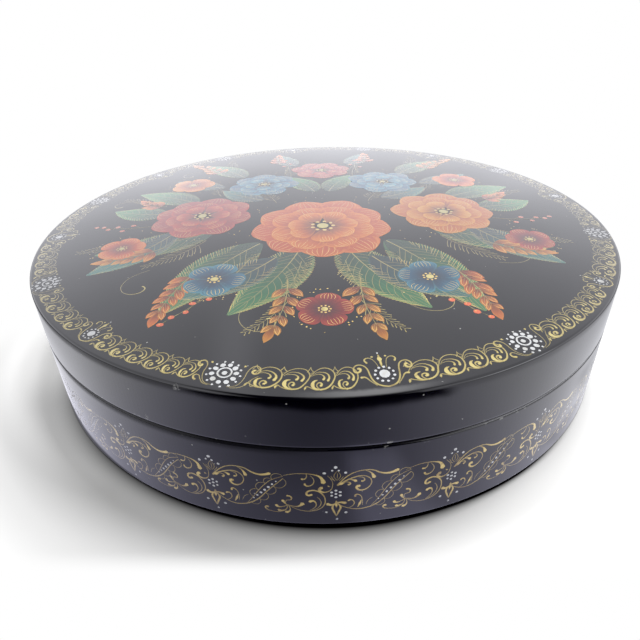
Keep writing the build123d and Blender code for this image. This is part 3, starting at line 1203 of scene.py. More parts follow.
LEAFLET_SPAN, LEAFLET_TAPER, SPREAD_TAPER, LEAFLET_OFF = (0.22, 0.95), (1.15, 0.5), (0.95, 0.35), 0.12
LEAFLET_WIDE, LEAFLET_BEND, LEAFLET_TONE_TAPER = 0.46, 0.35, (0.35, -0.25)
LEAFLET_RIB = ((0.04, 0), (0.45, 0), (0.88, 0))
LEAFLET_SIDES, LEAFLET_EDGE = (-0.55, 0.55), ((0.9, 0.3), (0.62, 1.0), (0.35, 0.9))
BUD_WIDE, BUD_TONE = 0.42, 0.6
TWIG_SPAN, TWIG_SPREAD, TWIG_CLOSES = (0.25, 1.0), 0.8, 1.1
TWIG_LONG, TWIG_TAPER = 2.6, (1.3, 0.6)
BERRY, GLINT, GLINT_RIGHT, GLINT_UP = (0.7, 0.66), (0.16, 0.13), -0.2, 0.25
FROND_SPAN, FROND_GAP, FROND_SPREAD_TAPER, FROND_OFF = (0.18, 0.98), 1.1, (1.1, 0.3), 0.1
FROND_TAPER, FROND_LONG_OFF, FROND_BEND = (0.26, 0.19), 0.15, 0.4
STIPPLE, STIPPLE_RING, STIPPLE_SIZE = 26, (1.06, 1.3), (0.09, 0.19)
CURL_STEPS, CURL_STEP, CURL_TAPER, CURL_TURN, CURL_TIGHTENS = 9, 0.34, (1.0, 0.78), 5.2, 1.4


def beside(centre, reach, way):
    """A point at a distance and in a direction from another."""
    return (centre[0] + reach * math.cos(way), centre[1] + reach * math.sin(way))


def tapered(taper, along):
    """A value at a share of a stem's length."""
    start, loss = taper
    return start - loss * along


class Petal:
    """The outline of one brush mark: a bent, pointed or rounded blade."""

    def __init__(self, root, heading, length, width=1.0, bend=0.0, fullest=0.55, point=1.0):
        self.root = root
        self.heading = heading
        self.length = length
        self.width = width
        self.bend = bend if abs(bend) > STRAIGHT else STRAIGHT
        self.skew = math.log(0.5) / math.log(fullest)
        self.point = point

    def at(self, along, across):
        """Places at shares of the length (0 to 1) and of the half width (-1 to 1)."""
        way = self.heading + self.bend * along
        turning = self.length / self.bend
        half = 0.5 * self.width * np.sin(math.pi * along**self.skew) ** self.point
        right = turning * (np.sin(way) - math.sin(self.heading)) - across * half * np.sin(way)
        up = across * half * np.cos(way) - turning * (np.cos(way) - math.cos(self.heading))
        return np.stack([self.root[0] + right, self.root[1] + up], axis=-1)

    def line(self, *places):
        """Points of a stroke through places of the mark."""
        return [tuple(self.at(np.float64(along), np.float64(across))) for along, across in places]

    def spine(self, number):
        """Points along the middle of the mark."""
        return self.line(*((along, 0) for along in np.linspace(*SPINE, number)))


class Spray:
    """Collects the spray's films of colour, gold and cream strokes, and beads, each on a layer."""

    def __init__(self, seed):
        self.chance = np.random.default_rng(seed)
        self.films = {tint: [] for tint in TINTS}
        self.strokes = {"gold": {}, "cream": {}}
        self.beads = {"gold": {}, "cream": {}, "berry": {}}
        self.heads = [mark[1:4] for mark in BLOSSOMS + FLOWERS]

    def shift(self, amount):
        return self.chance.uniform(-amount, amount)

    def covered(self, point):
        """Whether a flower head lies over a place."""
        return any(math.dist(point, (x, y)) < HEAD_COVERS * radius for x, y, radius in self.heads)

    def mark(self, tint, petal, layer, tone):
        self.films[tint].append((petal, layer, tone + self.shift(TONE_OFF)))

    def line(self, paint, layer, widths, points):
        self.strokes[paint].setdefault(layer, Brush()).stroke(widths, points)

    def bead(self, paint, layer, point, wide, tall):
        self.beads[paint].setdefault(layer, []).append((*point, wide, tall, 0))

    def leaf(self, tint, root, heading, length, width, bend, layer):
        """A leaf with a gold midrib, side veins and fine hatching along both edges."""
        blade = Petal(root, heading + self.shift(LEAF_OFF), length, width, bend, *LEAF_SHAPE)
        self.mark(tint, blade, layer, LEAF_TONE)
        self.line("gold", layer, MIDRIB, blade.spine(MIDRIB_KNOTS))
        for side in (-1, 1):
            for along in np.arange(*VEIN_SPAN, VEIN_GAP / length):
                vein = blade.line(*((along + on, out * side) for on, out in VEIN))
                self.line("gold", layer, FINE, vein)
            for along in np.arange(*HATCH_SPAN, HATCH_GAP / length):
                deep = side * (HATCH_DEEP + self.shift(HATCH_OFF))
                end = min(HATCH_LAST, along + HATCH_SLANT)
                hatch = blade.line((along, HATCH_EDGE * side), (end, deep))
                self.line("cream", layer, HATCH, hatch)

    def blossom(self, tint, centre, radius, petals):
        """Three rings of petals, each lighter than the one below, round a beaded eye."""
        turn = self.shift(ANY_TURN)
        for ring, (reach, width, tone) in enumerate(PETAL_RINGS):
            layer = HEAD_LAYER + ring
            for k in range(petals - ring):
                way = turn + (k + ring / 2) * TURN / (petals - ring) + self.shift(PETAL_OFF)
                long = PETAL_LONG * reach * radius * (1 + self.shift(PETAL_OFF))
                start = beside(centre, PETAL_ROOT * radius, way)
                bend = self.shift(PETAL_BEND)
                petal = Petal(start, way, long, width * radius, bend, *PETAL_SHAPE)
                self.mark(tint, petal, layer, tone)
                for across in np.linspace(-PETAL_FAN, PETAL_FAN, PETAL_HAIRS):
                    deep = HAIR_DEEP + HAIR_SHORTER * abs(across) + self.shift(HAIR_OFF)
                    middle = (HAIR_TIP + deep) / 2
                    end = (deep, HAIR_CLOSES * across)
                    hair = petal.line((HAIR_TIP, across), (middle, across), end)
                    self.line("cream", layer, HAIR, hair)
        self.eye(centre, BLOSSOM_EYE * radius)

    def flower(self, tint, centre, radius):
        """A small five-petalled flower."""
        turn = self.shift(ANY_TURN)
        for k in range(FLOWER_PETALS):
            way = turn + k * TURN / FLOWER_PETALS + self.shift(FLOWER_OFF)
            bend = self.shift(FLOWER_BEND)
            petal = Petal(centre, way, radius, FLOWER_WIDE * radius, bend, *FLOWER_SHAPE)
            self.mark(tint, petal, HEAD_LAYER, FLOWER_TONE)
            for across in np.linspace(-FLOWER_FAN, FLOWER_FAN, FLOWER_HAIRS):
                hair = petal.line(*((along, share * across) for along, share in FLOWER_HAIR))
                self.line("cream", HEAD_LAYER, HAIR, hair)
        self.eye(centre, FLOWER_EYE * radius)

    def eye(self, centre, radius):
        """A gold bead in a ring of small cream ones."""
        self.bead("gold", TOP_LAYER, centre, EYE_GOLD * radius, EYE_GOLD * radius)
        for turn in np.arange(EYE_BEADS) * TURN / EYE_BEADS:
            point = beside(centre, radius, turn)
            self.bead("cream", TOP_LAYER, point, EYE_CREAM * radius, EYE_CREAM * radius)

    def sprig(self, tint, root, heading, length, bend, pairs, size):
        """A gold stem with paired leaflets and a bud at its end."""
        stem = Petal(root, heading, length, bend=bend)
        self.line("gold", SPRIG_LAYER, SPRIG_STEM, stem.spine(STEM_KNOTS))
        for along in np.linspace(*LEAFLET_SPAN, pairs):
            way = heading + bend * along
            for side in (-1, 1):
                grown = size * tapered(LEAFLET_TAPER, along) * (1 + self.shift(LEAFLET_OFF))
                turned = way + side * tapered(SPREAD_TAPER, along) + self.shift(LEAFLET_OFF)
                start = stem.line((along, 0))[0]
                bow = -LEAFLET_BEND * side
                blade = Petal(start, turned, grown, LEAFLET_WIDE * grown, bow, *BUD_SHAPE)
                self.mark(tint, blade, SPRIG_LAYER, tapered(LEAFLET_TONE_TAPER, along))
                self.line("gold", SPRIG_LAYER, HAIR, blade.line(*LEAFLET_RIB))
                for across in LEAFLET_SIDES:
                    edge = blade.line(*((on, share * across) for on, share in LEAFLET_EDGE))
                    self.line("cream", SPRIG_LAYER, HAIR, edge)
        end = stem.line((1.0, 0))[0]
        bud = Petal(end, heading + bend, size, BUD_WIDE * size, 0.0, *BUD_SHAPE)
        self.mark(tint, bud, SPRIG_LAYER, BUD_TONE)

    def berries(self, root, heading, length, bend, number):
        """A gold stem of side twigs that end in berries."""
        stem = Petal(root, heading, length, bend=bend)
        self.line("gold", SPRIG_LAYER, BERRY_STEM, stem.spine(STEM_KNOTS))
        for k, along in enumerate(np.linspace(*TWIG_SPAN, number)):
            start = stem.line((along, 0))[0]
            spread = TWIG_SPREAD if k % 2 else -TWIG_SPREAD
            way = heading + bend * along + spread * (TWIG_CLOSES - along)
            twig = Petal(start, way, TWIG_LONG * tapered(TWIG_TAPER, along)).spine(TWIG_KNOTS)
            x, y = twig[-1]
            if not self.covered((x, y)):
                self.line("gold", SPRIG_LAYER, FINE, twig)
                self.bead("berry", SPRIG_LAYER, (x, y), *BERRY)
                self.bead("cream", TOP_LAYER, (x + GLINT_RIGHT, y + GLINT_UP), *GLINT)

    def fern(self, root, heading, length, bend):
        """A gold frond of short paired strokes."""
        stem = Petal(root, heading, length, bend=bend)
        self.line("gold", BARE, FERN_STEM, stem.spine(FERN_KNOTS))
        for along in np.arange(*FROND_SPAN, FROND_GAP / length):
            for side in (-1, 1):
                way = heading + bend * along + side * tapered(FROND_SPREAD_TAPER, along)
                way += self.shift(FROND_OFF)
                reach = length * tapered(FROND_TAPER, along) * (1 + self.shift(FROND_LONG_OFF))
                frond = Petal(stem.line((along, 0))[0], way, reach, bend=-FROND_BEND * side)
                self.line("gold", BARE, FROND, frond.spine(TWIG_KNOTS))

    def stipple(self, number):
        """Loose cream dots round the flower heads."""
        for x, y, radius in self.heads:
            for _ in range(number):
                way = self.chance.uniform(0, TURN)
                point = beside((x, y), radius * self.chance.uniform(*STIPPLE_RING), way)
                size = self.chance.uniform(*STIPPLE_SIZE)
                if not self.covered(point):
                    self.bead("cream", BARE, point, size, size)

    def tendril(self, root, heading, size):
        """A gold curl."""
        points = [root]
        for share in np.linspace(0, 1, CURL_STEPS):
            step = size * tapered(CURL_TAPER, share) * CURL_STEP
            way = heading + CURL_TURN * share**CURL_TIGHTENS
            points.append(beside(points[-1], step, way))
        self.line("gold", BARE, TENDRIL, points[1:])


def floral_spray(seed):
    """The whole spray: blossoms in the middle, leaves and sprigs outwards, nearly mirrored."""
    spray = Spray(seed)
    for side in (1, -1):
        def facing(degrees):
            way = math.radians(degrees)
            return way if side > 0 else math.pi - way

        def bent(degrees):
            return side * math.radians(degrees)

        for index, (tint, x, y, heading, length, width, bend) in enumerate(LEAVES):
            layer = index % LEAF_LAYERS
            spray.leaf(tint, (side * x, y), facing(heading), length, width, bent(bend), layer)
        for tint, x, y, heading, length, bend, pairs, size in SPRIGS:
            spray.sprig(tint, (side * x, y), facing(heading), length, bent(bend), pairs, size)
        for x, y, heading, length, bend, number in BERRIES:
            spray.berries((side * x, y), facing(heading), length, side * bend, number)
        for x, y, heading, size in TENDRILS:
            spray.tendril((side * x, y), facing(heading), size)
        for x, y, heading, length, bend in FERNS:
            spray.fern((side * x, y), facing(heading), length, bent(bend))
    for tint, x, y, radius, petals in BLOSSOMS:
        spray.blossom(tint, (x, y), radius, petals)
    for tint, x, y, radius in FLOWERS:
        spray.flower(tint, (x, y), radius)
    spray.stipple(STIPPLE)
    return spray


LAYER_HEIGHT = 0.003
FILM_DEPTH = 0.0025
ON_FILM = 0.0004
FILM_ROWS, FILM_COLUMNS, FILM_HALF = 15, 7, 0.49


def lift_of(layer):
    """Height of a stroke's middle on a layer of the spray."""
    return (layer + 1) * LAYER_HEIGHT + FILM_DEPTH + ON_FILM


def film_piece(name, marks, finish, sizes):
    """One piece of paint from marks of (petal, layer, tone), as thin solid blades."""
    along, across = np.meshgrid(
        0.5 - FILM_HALF * np.cos(np.linspace(0, math.pi, FILM_ROWS)),
        np.linspace(-1, 1, FILM_COLUMNS),
        indexing="ij",
    )
    along, across = along.ravel(), across.ravel()
    places, faces, tones = [], [], []
    for petal, layer, tone in marks:
        height = np.full(len(along), (layer + 1) * LAYER_HEIGHT)
        first = len(places) * len(along)
        places.append(on_dome(sizes, np.column_stack([petal.at(along, across), height])))
        tones.extend([tone] * len(along))
        for row in range(FILM_ROWS - 1):
            for column in range(FILM_COLUMNS - 1):
                corner = first + row * FILM_COLUMNS + column
                beyond = corner + FILM_COLUMNS
                faces.append((corner, beyond, beyond + 1, corner + 1))
    piece = smooth_piece(name, np.concatenate(places), faces, finish, TONE, tones)
    mesh = piece.data
    corners = np.empty(len(mesh.loops), dtype=int)
    mesh.loops.foreach_get("vertex_index", corners)
    spread = np.column_stack([0.5 + 0.5 * across, along])[corners % len(along)]
    mesh.uv_layers.new(name=BRUSH_MAP).data.foreach_set("uv", spread.ravel())
    bpy.context.view_layer.objects.active = piece
    piece.select_set(True)
    bpy.ops.object.mode_set(mode="EDIT")
    bpy.ops.mesh.select_all(action="SELECT")
    bpy.ops.mesh.flip_normals()
    bpy.ops.object.mode_set(mode="OBJECT")
    depth = piece.modifiers.new("film", "SOLIDIFY")
    depth.thickness = FILM_DEPTH * MM
    depth.offset = -1
    bpy.ops.object.modifier_apply(modifier=depth.name)
    bpy.ops.object.shade_smooth_by_angle(angle=SHARP_FILM)
    hand_over(piece, "lid")


# Operators, one for each piece or group of like pieces

WORN_BLACK, WORN_RED = 1.7, 0.75
FACING = 0.5
COLLAR_LIP = 1 / 3
CEILING_RISE, SPIGOT_REACH = 4 * MM, 0.1 * MM
DOME_GAP = 0.3 * MM
FOOT_STEPS, SEAM_STEPS, LIP_STEPS, CEILING_STEPS, EDGE_STEPS, DOME_STEPS = 6, 5, 5, 10, 12, 30


class LACQUER_OT_finishes(bpy.types.Operator):
    """Makes the lacquers, golds and enamel that the pieces share"""

    bl_idname = "lacquer.finishes"
    bl_label = "Finishes"

    def execute(self, context):
        tints = context.scene.lacquer_finishes
        black = tuple(tints.black)
        red = tuple(tints.red)
        lacquer("polished_black", black, tuple(part * WORN_BLACK for part in black))
        lacquer("polished_red", red, tuple(part * WORN_RED for part in red))
        # Painted shade for the edges at the seam
        seam_shade_finish("painted_seam_shade", black)
        gold_paint("gold_paint", tuple(tints.gold), worn_share=0.05, metal=0.75)
        gold_paint("thin_gold_paint", tuple(tints.thin_gold), worn_share=0.12, metal=0.45)
        white_enamel("white_tempera", tuple(tints.white))
        white_enamel("cream_tempera", tuple(tints.cream))
        white_enamel("berry_tempera", tuple(tints.berry))
        for name, (deep, body, light) in TINTS.items():
            tempera(f"{name}_tempera", deep, body, light)
        return {"FINISHED"}


class LACQUER_OT_base(bpy.types.Operator):
    """Spins the base's wall, floor and collar"""

    bl_idname = "lacquer.base"
    bl_label = "Base"

    def execute(self, context):
        sizes = context.scene.lacquer_sizes
        steps = sizes.spin_steps
        lip = sizes.wall - sizes.collar_wall * COLLAR_LIP
        wall = spin_piece("base_wall_lacquered", self.wall(sizes), True, steps)
        lacquer_faces(wall, lambda centre, normal: False)
        shade_seam_edge(wall, sizes, WIDE_SHARE)
        hand_over(wall, "base", "base_wall")
        floor = spin_piece("base_floor_lacquered", self.floor(sizes), False, steps)
        lacquer_faces(floor, lambda centre, normal: normal.z > FACING)
        hand_over(floor, "base", "base_floor")
        collar = spin_piece("collar_lacquered", self.collar(sizes), True, steps)
        lacquer_faces(collar, lambda centre, normal: centre.xy.length < lip)
        hand_over(collar, "base", "collar")
        return {"FINISHED"}

    def wall(self, sizes):
        """Profile of the wall: foot, outside, rounded seam, and the step for the floor."""
        out = sizes.radius - sizes.paint_depth
        foot, edge = sizes.foot_edge, sizes.seam_edge
        return [
            (sizes.floor_radius, 0),
            (out - foot - MM, 0),
            *arc((out - foot, foot), foot, -TURN / 4, 0, FOOT_STEPS),
            (out, foot + EDGE_GAP),
            (out, sizes.seam - edge - EDGE_GAP),
            *arc((out - edge, sizes.seam - edge), edge, 0, TURN / 4, SEAM_STEPS),
            (sizes.wall, sizes.seam),
            (sizes.wall, sizes.floor_top),
            (sizes.floor_radius, sizes.floor_top),
        ]

    def floor(self, sizes):
        """Profile of the floor disc, from the axis out and back."""
        radius, top = sizes.floor_radius, sizes.floor_top
        return [(0, 0), (radius, 0), (radius, top), (0, top)]

    def collar(self, sizes):
        """Profile of the collar, with both upper edges rounded."""
        bore = sizes.wall - sizes.collar_wall
        lip = sizes.collar_wall * COLLAR_LIP
        round_at = sizes.collar_top - lip
        return [
            (bore, sizes.floor_top),
            (sizes.wall, sizes.floor_top),
            (sizes.wall, round_at - EDGE_GAP),
            *arc((sizes.wall - lip, round_at), lip, 0, TURN / 4, LIP_STEPS),
            *arc((bore + lip, round_at), lip, TURN / 4, TURN / 2, LIP_STEPS),
        ]


class LACQUER_OT_lid(bpy.types.Operator):
    """Spins the lid's wall and its domed panel"""

    bl_idname = "lacquer.lid"
    bl_label = "Lid"

    def execute(self, context):
        sizes = context.scene.lacquer_sizes
        mouth = sizes.lid_bore + sizes.mouth_chamfer

        def under_panel(centre, normal):
            ceiling = normal.z < -FACING and centre.z < sizes.panel_seat + CEILING_RISE
            inward = centre.xy.length < sizes.lid_bore + SPIGOT_REACH
            return ceiling or inward and abs(normal.z) < FACING

        wall = spin_piece("lid_wall_lacquered", self.wall(sizes, mouth), True, sizes.spin_steps)
        lacquer_faces(wall, lambda centre, normal: centre.xy.length < mouth)
        shade_seam_edge(wall, sizes, MATT_SHARE)
        hand_over(wall, "lid", "lid_wall")
        panel = spin_piece("lid_panel_lacquered", self.panel(sizes), False, sizes.spin_steps)
        lacquer_faces(panel, under_panel)
        hand_over(panel, "lid", "lid_panel")
        return {"FINISHED"}

    def wall(self, sizes, mouth):
        """Profile of the lid's wall: rounded seam, outside, seat and bevelled mouth."""
        out = sizes.radius - sizes.paint_depth
        edge = sizes.seam_edge
        return [
            (mouth, sizes.seam),
            *arc((out - edge, sizes.seam + edge), edge, -TURN / 4, 0, SEAM_STEPS),
            (out, sizes.seam + edge + EDGE_GAP),
            (out, sizes.panel_seat),
            (sizes.lid_bore, sizes.panel_seat),
            (sizes.lid_bore, sizes.seam + sizes.mouth_chamfer),
        ]

    def panel(self, sizes):
        """Profile of the panel: ceiling, spigot, turned edge and dome."""
        out = sizes.radius - sizes.paint_depth
        sphere, centre = dome_sphere(sizes)
        edge = sizes.lid_edge
        lean = math.asin((out - edge) / (sphere - edge))
        edge_z = centre + (sphere - edge) * math.cos(lean)
        ceiling = sizes.crown - sizes.panel_wall
        drop = ceiling - sizes.spigot
        inner = (sizes.lid_bore**2 + drop**2) / (2 * drop)
        inner_lean = math.asin(sizes.lid_bore / inner)
        return [
            *arc((0, ceiling - inner), inner, TURN / 4, TURN / 4 - inner_lean, CEILING_STEPS),
            (sizes.lid_bore, sizes.panel_seat),
            (out, sizes.panel_seat),
            (out, edge_z - EDGE_GAP),
            *arc((out - edge, edge_z), edge, 0, TURN / 4 - lean, EDGE_STEPS),
            *arc((0, centre), sphere, TURN / 4 - lean + DOME_GAP / sphere, TURN / 4, DOME_STEPS),
        ]


def spaced(first, gaps, places):
    """Angles round the box: the given gaps in degrees from the first place, then even ones."""
    gaps = [math.radians(gap) for gap in gaps]
    even = (TURN - sum(gaps)) / (places - len(gaps))
    turns = [first]
    for gap in gaps + [even] * (places - len(gaps) - 1):
        turns.append(turns[-1] + gap)
    return turns


# Gap to the next motif in degrees, scrolls in it and their height, from the first motif on
RUNS = ((22.0, 4, 0.82), (25.1, 6, 0.85), (22.6, 4, 0.97), (22.7, 4, 0.92), (26.1, 6, 0.85))
EVEN_RUN_HEIGHT, LEAST_RUN = 0.9, 3
MOTIFS = 16
# Sizes of the rosettes and tulips from the first on; the rest are full size
MOTIF_SIZES = (1.0, 0.8, 1.0, 1.0, 1.0, 0.78, *(1.0,) * (MOTIFS - 5))
# Millimetres that a rosette or tulip stands inwards, and keeps free after it and before the next
ROSETTE_ROOM, TULIP_ROOM = (-0.4, 5.1, 4.6), (-0.15, 4.2, 4.75)
SCROLLS_SHRINK, SCROLLS_UNEVEN = (1.12, 0.88), (0.96, 1.04)
DRIFT, DRIFT_SPAN = 0.9, (math.radians(12), math.radians(60))
RIM_WOBBLE, WALL_WOBBLE = 0.045, 0.05
BAND_GAPS = (15.95, 18.05, 17.2)


def outward_drift(turn):
    """How far, in millimetres, the border wanders out towards the lid's edge away from the front."""
    away = abs((turn + math.pi) % TURN - math.pi)
    return np.interp(away, DRIFT_SPAN, (0, DRIFT))


class LACQUER_OT_lid_border(bpy.types.Operator):
    """Paints the lid's gold scrolls, white rosettes and tulips"""

    bl_idname = "lacquer.lid_border"
    bl_label = "Lid border"

    def execute(self, context):
        sizes = context.scene.lacquer_sizes
        borders = context.scene.lacquer_borders
        chance = np.random.default_rng(borders.brush_seed)
        ring = borders.ring_radius
        turns = spaced(borders.first_motif, [run[0] for run in RUNS], MOTIFS)
        turns.append(turns[0] + TURN)
        beads = bead_template()
        scrolls, rosettes, tulips, whites = [], [], [], []

        def lay(layer, motif, turn, width=1.0, inward=0.0, height=1.0):
            vertices, faces = motif
            flat = hand_wobble(vertices, chance, RIM_WOBBLE)
            flat[:, 0] *= width
            flat[:, 1] = SCROLL_FOOT + height * (flat[:, 1] - SCROLL_FOOT)
            flat[:, 1] += inward - outward_drift(turn)
            layer.append((on_rim(sizes, ring, flat, turn), faces))

        hands = [relief(Brush(chance).drawn(SCROLL)) for _ in range(SCROLL_HANDS)]
        stems = relief(Brush().drawn(ROSETTE_STEMS))
        eye = relief(rosette_ring())
        tulip = both_sides(TULIP_CUP) + TULIP_SPEAR + both_sides(TULIP_BUDS)
        cup = relief(Brush().drawn(tulip))
        for index, (turn, following) in enumerate(zip(turns, turns[1:])):
            size, beyond = MOTIF_SIZES[index : index + 2]
            inward, before, after = TULIP_ROOM if index % 2 else ROSETTE_ROOM
            if index % 2:
                lay(tulips, cup, turn, size, inward, size)
                lay(whites, dots(beads, tulip_dots(), chance), turn, size, inward, size)
            else:
                lay(rosettes, stems, turn, size, inward, size)
                lay(whites, eye, turn, size, inward, size)
                lay(whites, dots(beads, rosette_dots(), chance), turn, size, inward, size)
            start = turn + size * before * MM / ring
            room = following - beyond * after * MM / ring - start
            copies, height = max(LEAST_RUN, round(room / borders.scroll_pitch)), EVEN_RUN_HEIGHT
            if index < len(RUNS):
                copies, height = RUNS[index][1:]
            shares = np.linspace(*SCROLLS_SHRINK, copies) * chance.uniform(*SCROLLS_UNEVEN, copies)
            ends = start + room * np.concatenate([[0], np.cumsum(shares) / shares.sum()])
            for left, right in zip(ends[:-1], ends[1:]):
                scroll = hands[chance.integers(SCROLL_HANDS)]
                width = (right - left) * ring / MM / SCROLL_WIDTH
                lay(scrolls, scroll, (left + right) / 2, width, height=height)
        painted_piece("lid_border_scrolls", scrolls, "gold_paint", "lid")
        painted_piece("lid_border_rosette_stems", rosettes, "gold_paint", "lid")
        painted_piece("lid_border_tulip_stems", tulips, "gold_paint", "lid")
        painted_piece("lid_border_white_dots", whites, "white_tempera", "lid")
        return {"FINISHED"}


class LACQUER_OT_base_band(bpy.types.Operator):
    """Paints the base's band of scrolls, ribbons and dots"""

    bl_idname = "lacquer.base_band"
    bl_label = "Base band"

    def execute(self, context):
        sizes = context.scene.lacquer_sizes
        borders = context.scene.lacquer_borders
        chance = np.random.default_rng(borders.brush_seed + 1)
        beads = bead_template()
        strokes = {
            "base_band_upper_scrolls": BAND_UPPER,
            "base_band_sprigs": BAND_SPRIG,
            "base_band_lower_scrolls": BAND_LOWER,
            "base_band_ribbons": band_ribbon(),
        }
        motifs = {name: relief(Brush(full=BAND_FULL).drawn(drawn)) for name, drawn in strokes.items()}
        copies = {name: [] for name in motifs}
        whites = []
        for turn in spaced(borders.first_unit, BAND_GAPS, borders.band_units):
            for name, (vertices, faces) in motifs.items():
                flat = hand_wobble(vertices, chance, WALL_WOBBLE)
                copies[name].append((on_wall(sizes, flat, turn), faces))
            vertices, faces = dots(beads, band_dots(), chance)
            whites.append((on_wall(sizes, vertices, turn), faces))
        for name, laid in copies.items():
            painted_piece(name, laid, "thin_gold_paint", "base")
        painted_piece("base_band_white_dots", whites, "white_tempera", "base")
        return {"FINISHED"}


class LACQUER_OT_spray(bpy.types.Operator):
    """Paints the floral spray on the lid's dome"""

    bl_idname = "lacquer.spray"
    bl_label = "Floral spray"

    def execute(self, context):
        sizes = context.scene.lacquer_sizes
        borders = context.scene.lacquer_borders
        spray = floral_spray(borders.brush_seed + 2)
        for tint, marks in spray.films.items():
            film_piece(f"spray_{tint}", marks, f"{tint}_tempera", sizes)
        template = bead_template()
        for paint, finish, slot in (
            ("gold", "gold_paint", "gold_leaf"),
            ("cream", "cream_tempera", "painted_colours"),
            ("berry", "berry_tempera", "painted_colours"),
        ):
            lines, beads = [], []
            for layer, brush in spray.strokes.get(paint, {}).items():
                vertices, faces = relief(brush.mesh(), lift_of(layer))
                lines.append((on_dome(sizes, vertices), faces))
            for layer, places in spray.beads[paint].items():
                vertices, faces = dots(template, places, spray.chance)
                vertices[:, 2] += lift_of(layer) - PAINT_LIFT
                beads.append((on_dome(sizes, vertices), faces))
            if lines:
                painted_piece(f"spray_{paint}_lines", lines, finish, "lid")
            painted_piece(f"spray_{paint}_beads", beads, finish, "lid")
        return {"FINISHED"}


# Studio: lengths in metres, angles in radians, light as radiance where white is 1.
# A pair of places is where a fade starts and where it ends
OUTSIDE = wall_high.x
WHITE = (1, 1, 1)
CAMERA_PLACE = (0.0, -0.140794, 0.089551)
CAMERA_YAW, CAMERA_PITCH, CAMERA_ROLL = -0.0108, -0.5728, -0.0288
CAMERA_LENS, CAMERA_SENSOR, CAMERA_NEAR = 30.186, 36.0, 0.005
KEY_PLACE, KEY_SIZE, KEY_POWER = (0.17, 0.15, 0.85), 0.28, 7.0

# The floor as the camera sees it: where it is plain white, and how it lightens beside the box
FLOOR_SIZE, FLOOR_DROP = 8.0, 0.00005
FLOOR_GREY, FLOOR_GLOW = 0.8, 0.2
FAR_WHITE = (0.2, 0.6)
FRONT_WHITE, FRONT_WHITE_LEAN = (0.0803, 0.0852), 0.02
BACK_WHITE, BACK_WHITE_RING = (-0.022, 0.0), (0.084, 0.089)
LIFT_LEFT, LIFT_LEFT_X, LIFT_LEFT_Y = 0.17, (0.06, 0.07), (-0.04, -0.022)
LIFT_LEFT_RING = (0.083, 0.0875)
LIFT_RIGHT, LIFT_RIGHT_X, LIFT_RIGHT_RING = 0.1, (0.015, 0.045), (0.078, 0.083)

# The box's own shade on the floor
SHADE, SHADE_START, SHADE_GROWS = 1.55, -0.073, 0.1
SHADE_ENDS, SHADE_EASE, SHADE_EASES = (0.036, 0.062), 0.2, (0.0, 0.03)
SHADE_LEFT, SHADE_RIGHT, SHADE_NARROWS = 0.0056, 0.0014, (-0.006, 0.046)
CONTACT_BLUR, CONTACT_IN, CONTACT_SIDES = 0.0006, 0.0002, (0.03, 0.055)
PENUMBRA, PENUMBRA_LEFT = 0.25, (-0.002, 0.022)
PENUMBRA_START, PENUMBRA_END = (0.0765, 0.0825), (0.09, 0.106)
PENUMBRA_LEAN, PENUMBRA_LEANS_AT = 0.28, 0.045

# The floor as the lacquer mirrors it: dim in front, bright at the flanks
MIRRORED_TINT, FRONT_TINT = (0.985, 0.99, 1.05), (0.96, 0.94, 1.32)
FLANK_X, FLANK_SPAN = -0.006, (0.0, 0.085)
FRONT, FRONT_FOOT, FRONT_FOOT_RING = 0.33, 0.18, (0.078, 0.1)
PANE, PANE_X, PANE_WIDTH, PANE_RING = 0.5, 0.0135, (0.004, 0.011), (0.09, 0.097)
FLANK, BACK, BACK_SPAN = 1.55, 0.75, (-0.055, 0.005)
RIM_LEFT, RIM_RIGHT, RIM_TURNS = 0.62, 0.26, (-0.03, 0.03)
RIM_RING, RIM_LEAN = (0.0984, 0.1004), 0.09
FOOT_DARK, FOOT_LEFT, FOOT_TAPER = 0.96, (0.036, 0.046), (0.044, 0.055)
FOOT_AT, FOOT_OUT, FOOT_BLUR, FOOT_SOFTER = 0.0751, 0.0001, 0.0004, 0.0003
RIGHT_DIM, RIGHT_FOOT_X, RIGHT_FOOT_RING = 0.28, (0.048, 0.053), (0.0764, 0.078)
RIGHT_X, RIGHT_Y, RIGHT_RING = (0.06, 0.068), (-0.046, -0.036), (0.082, 0.087)

# Past a ring in front of the box the floor is painted dark in the lacquer's reflection only
MIRROR_DARK_RING, MIRROR_DARK_BLUR, MIRROR_DARK_LEAN = 0.1068, 0.0014, 0.03
MIRROR_DARK_WAVER, MIRROR_DARK_NOISE = 0.0026, (75.0, 2.0)
MIRROR_DARK_X, MIRROR_DARK_SIDE, MIRROR_DARK_SIDE_BLUR = -0.004, 0.053, 0.005
MIRROR_DARK_SPREAD, MIRROR_DARK_SPREADS_AT = 0.6, 0.125

# The world as the lacquer mirrors it, by directions: a bright back and sides, dark in front
WORLD_FILL, WORLD_DARK = 0.4, 0.01
WORLD_LOW, WORLD_HIGH, WORLD_RISE = 2.0, 1.5, (0.15, 0.7)
WORLD_BACK, WORLD_FLANKS = (-0.1, 0.3), (0.35, 0.65)
WORLD_NEARER, WORLD_NEARER_X = 0.24, (-0.15, 0.1)
HAZE, HAZE_LEAST, HAZE_MORE = (3.2, 2.0), 0.8, 0.4
STREAK, STREAK_X, STREAK_WIDTH, STREAK_RISE = 0.26, -0.19, (0.0, 0.075), (0.55, 0.68)
BEAM, BEAM_X, BEAM_Y, BEAM_RISE = 1.1, (0.7, 0.85), (-0.25, -0.1), (0.25, 0.45)


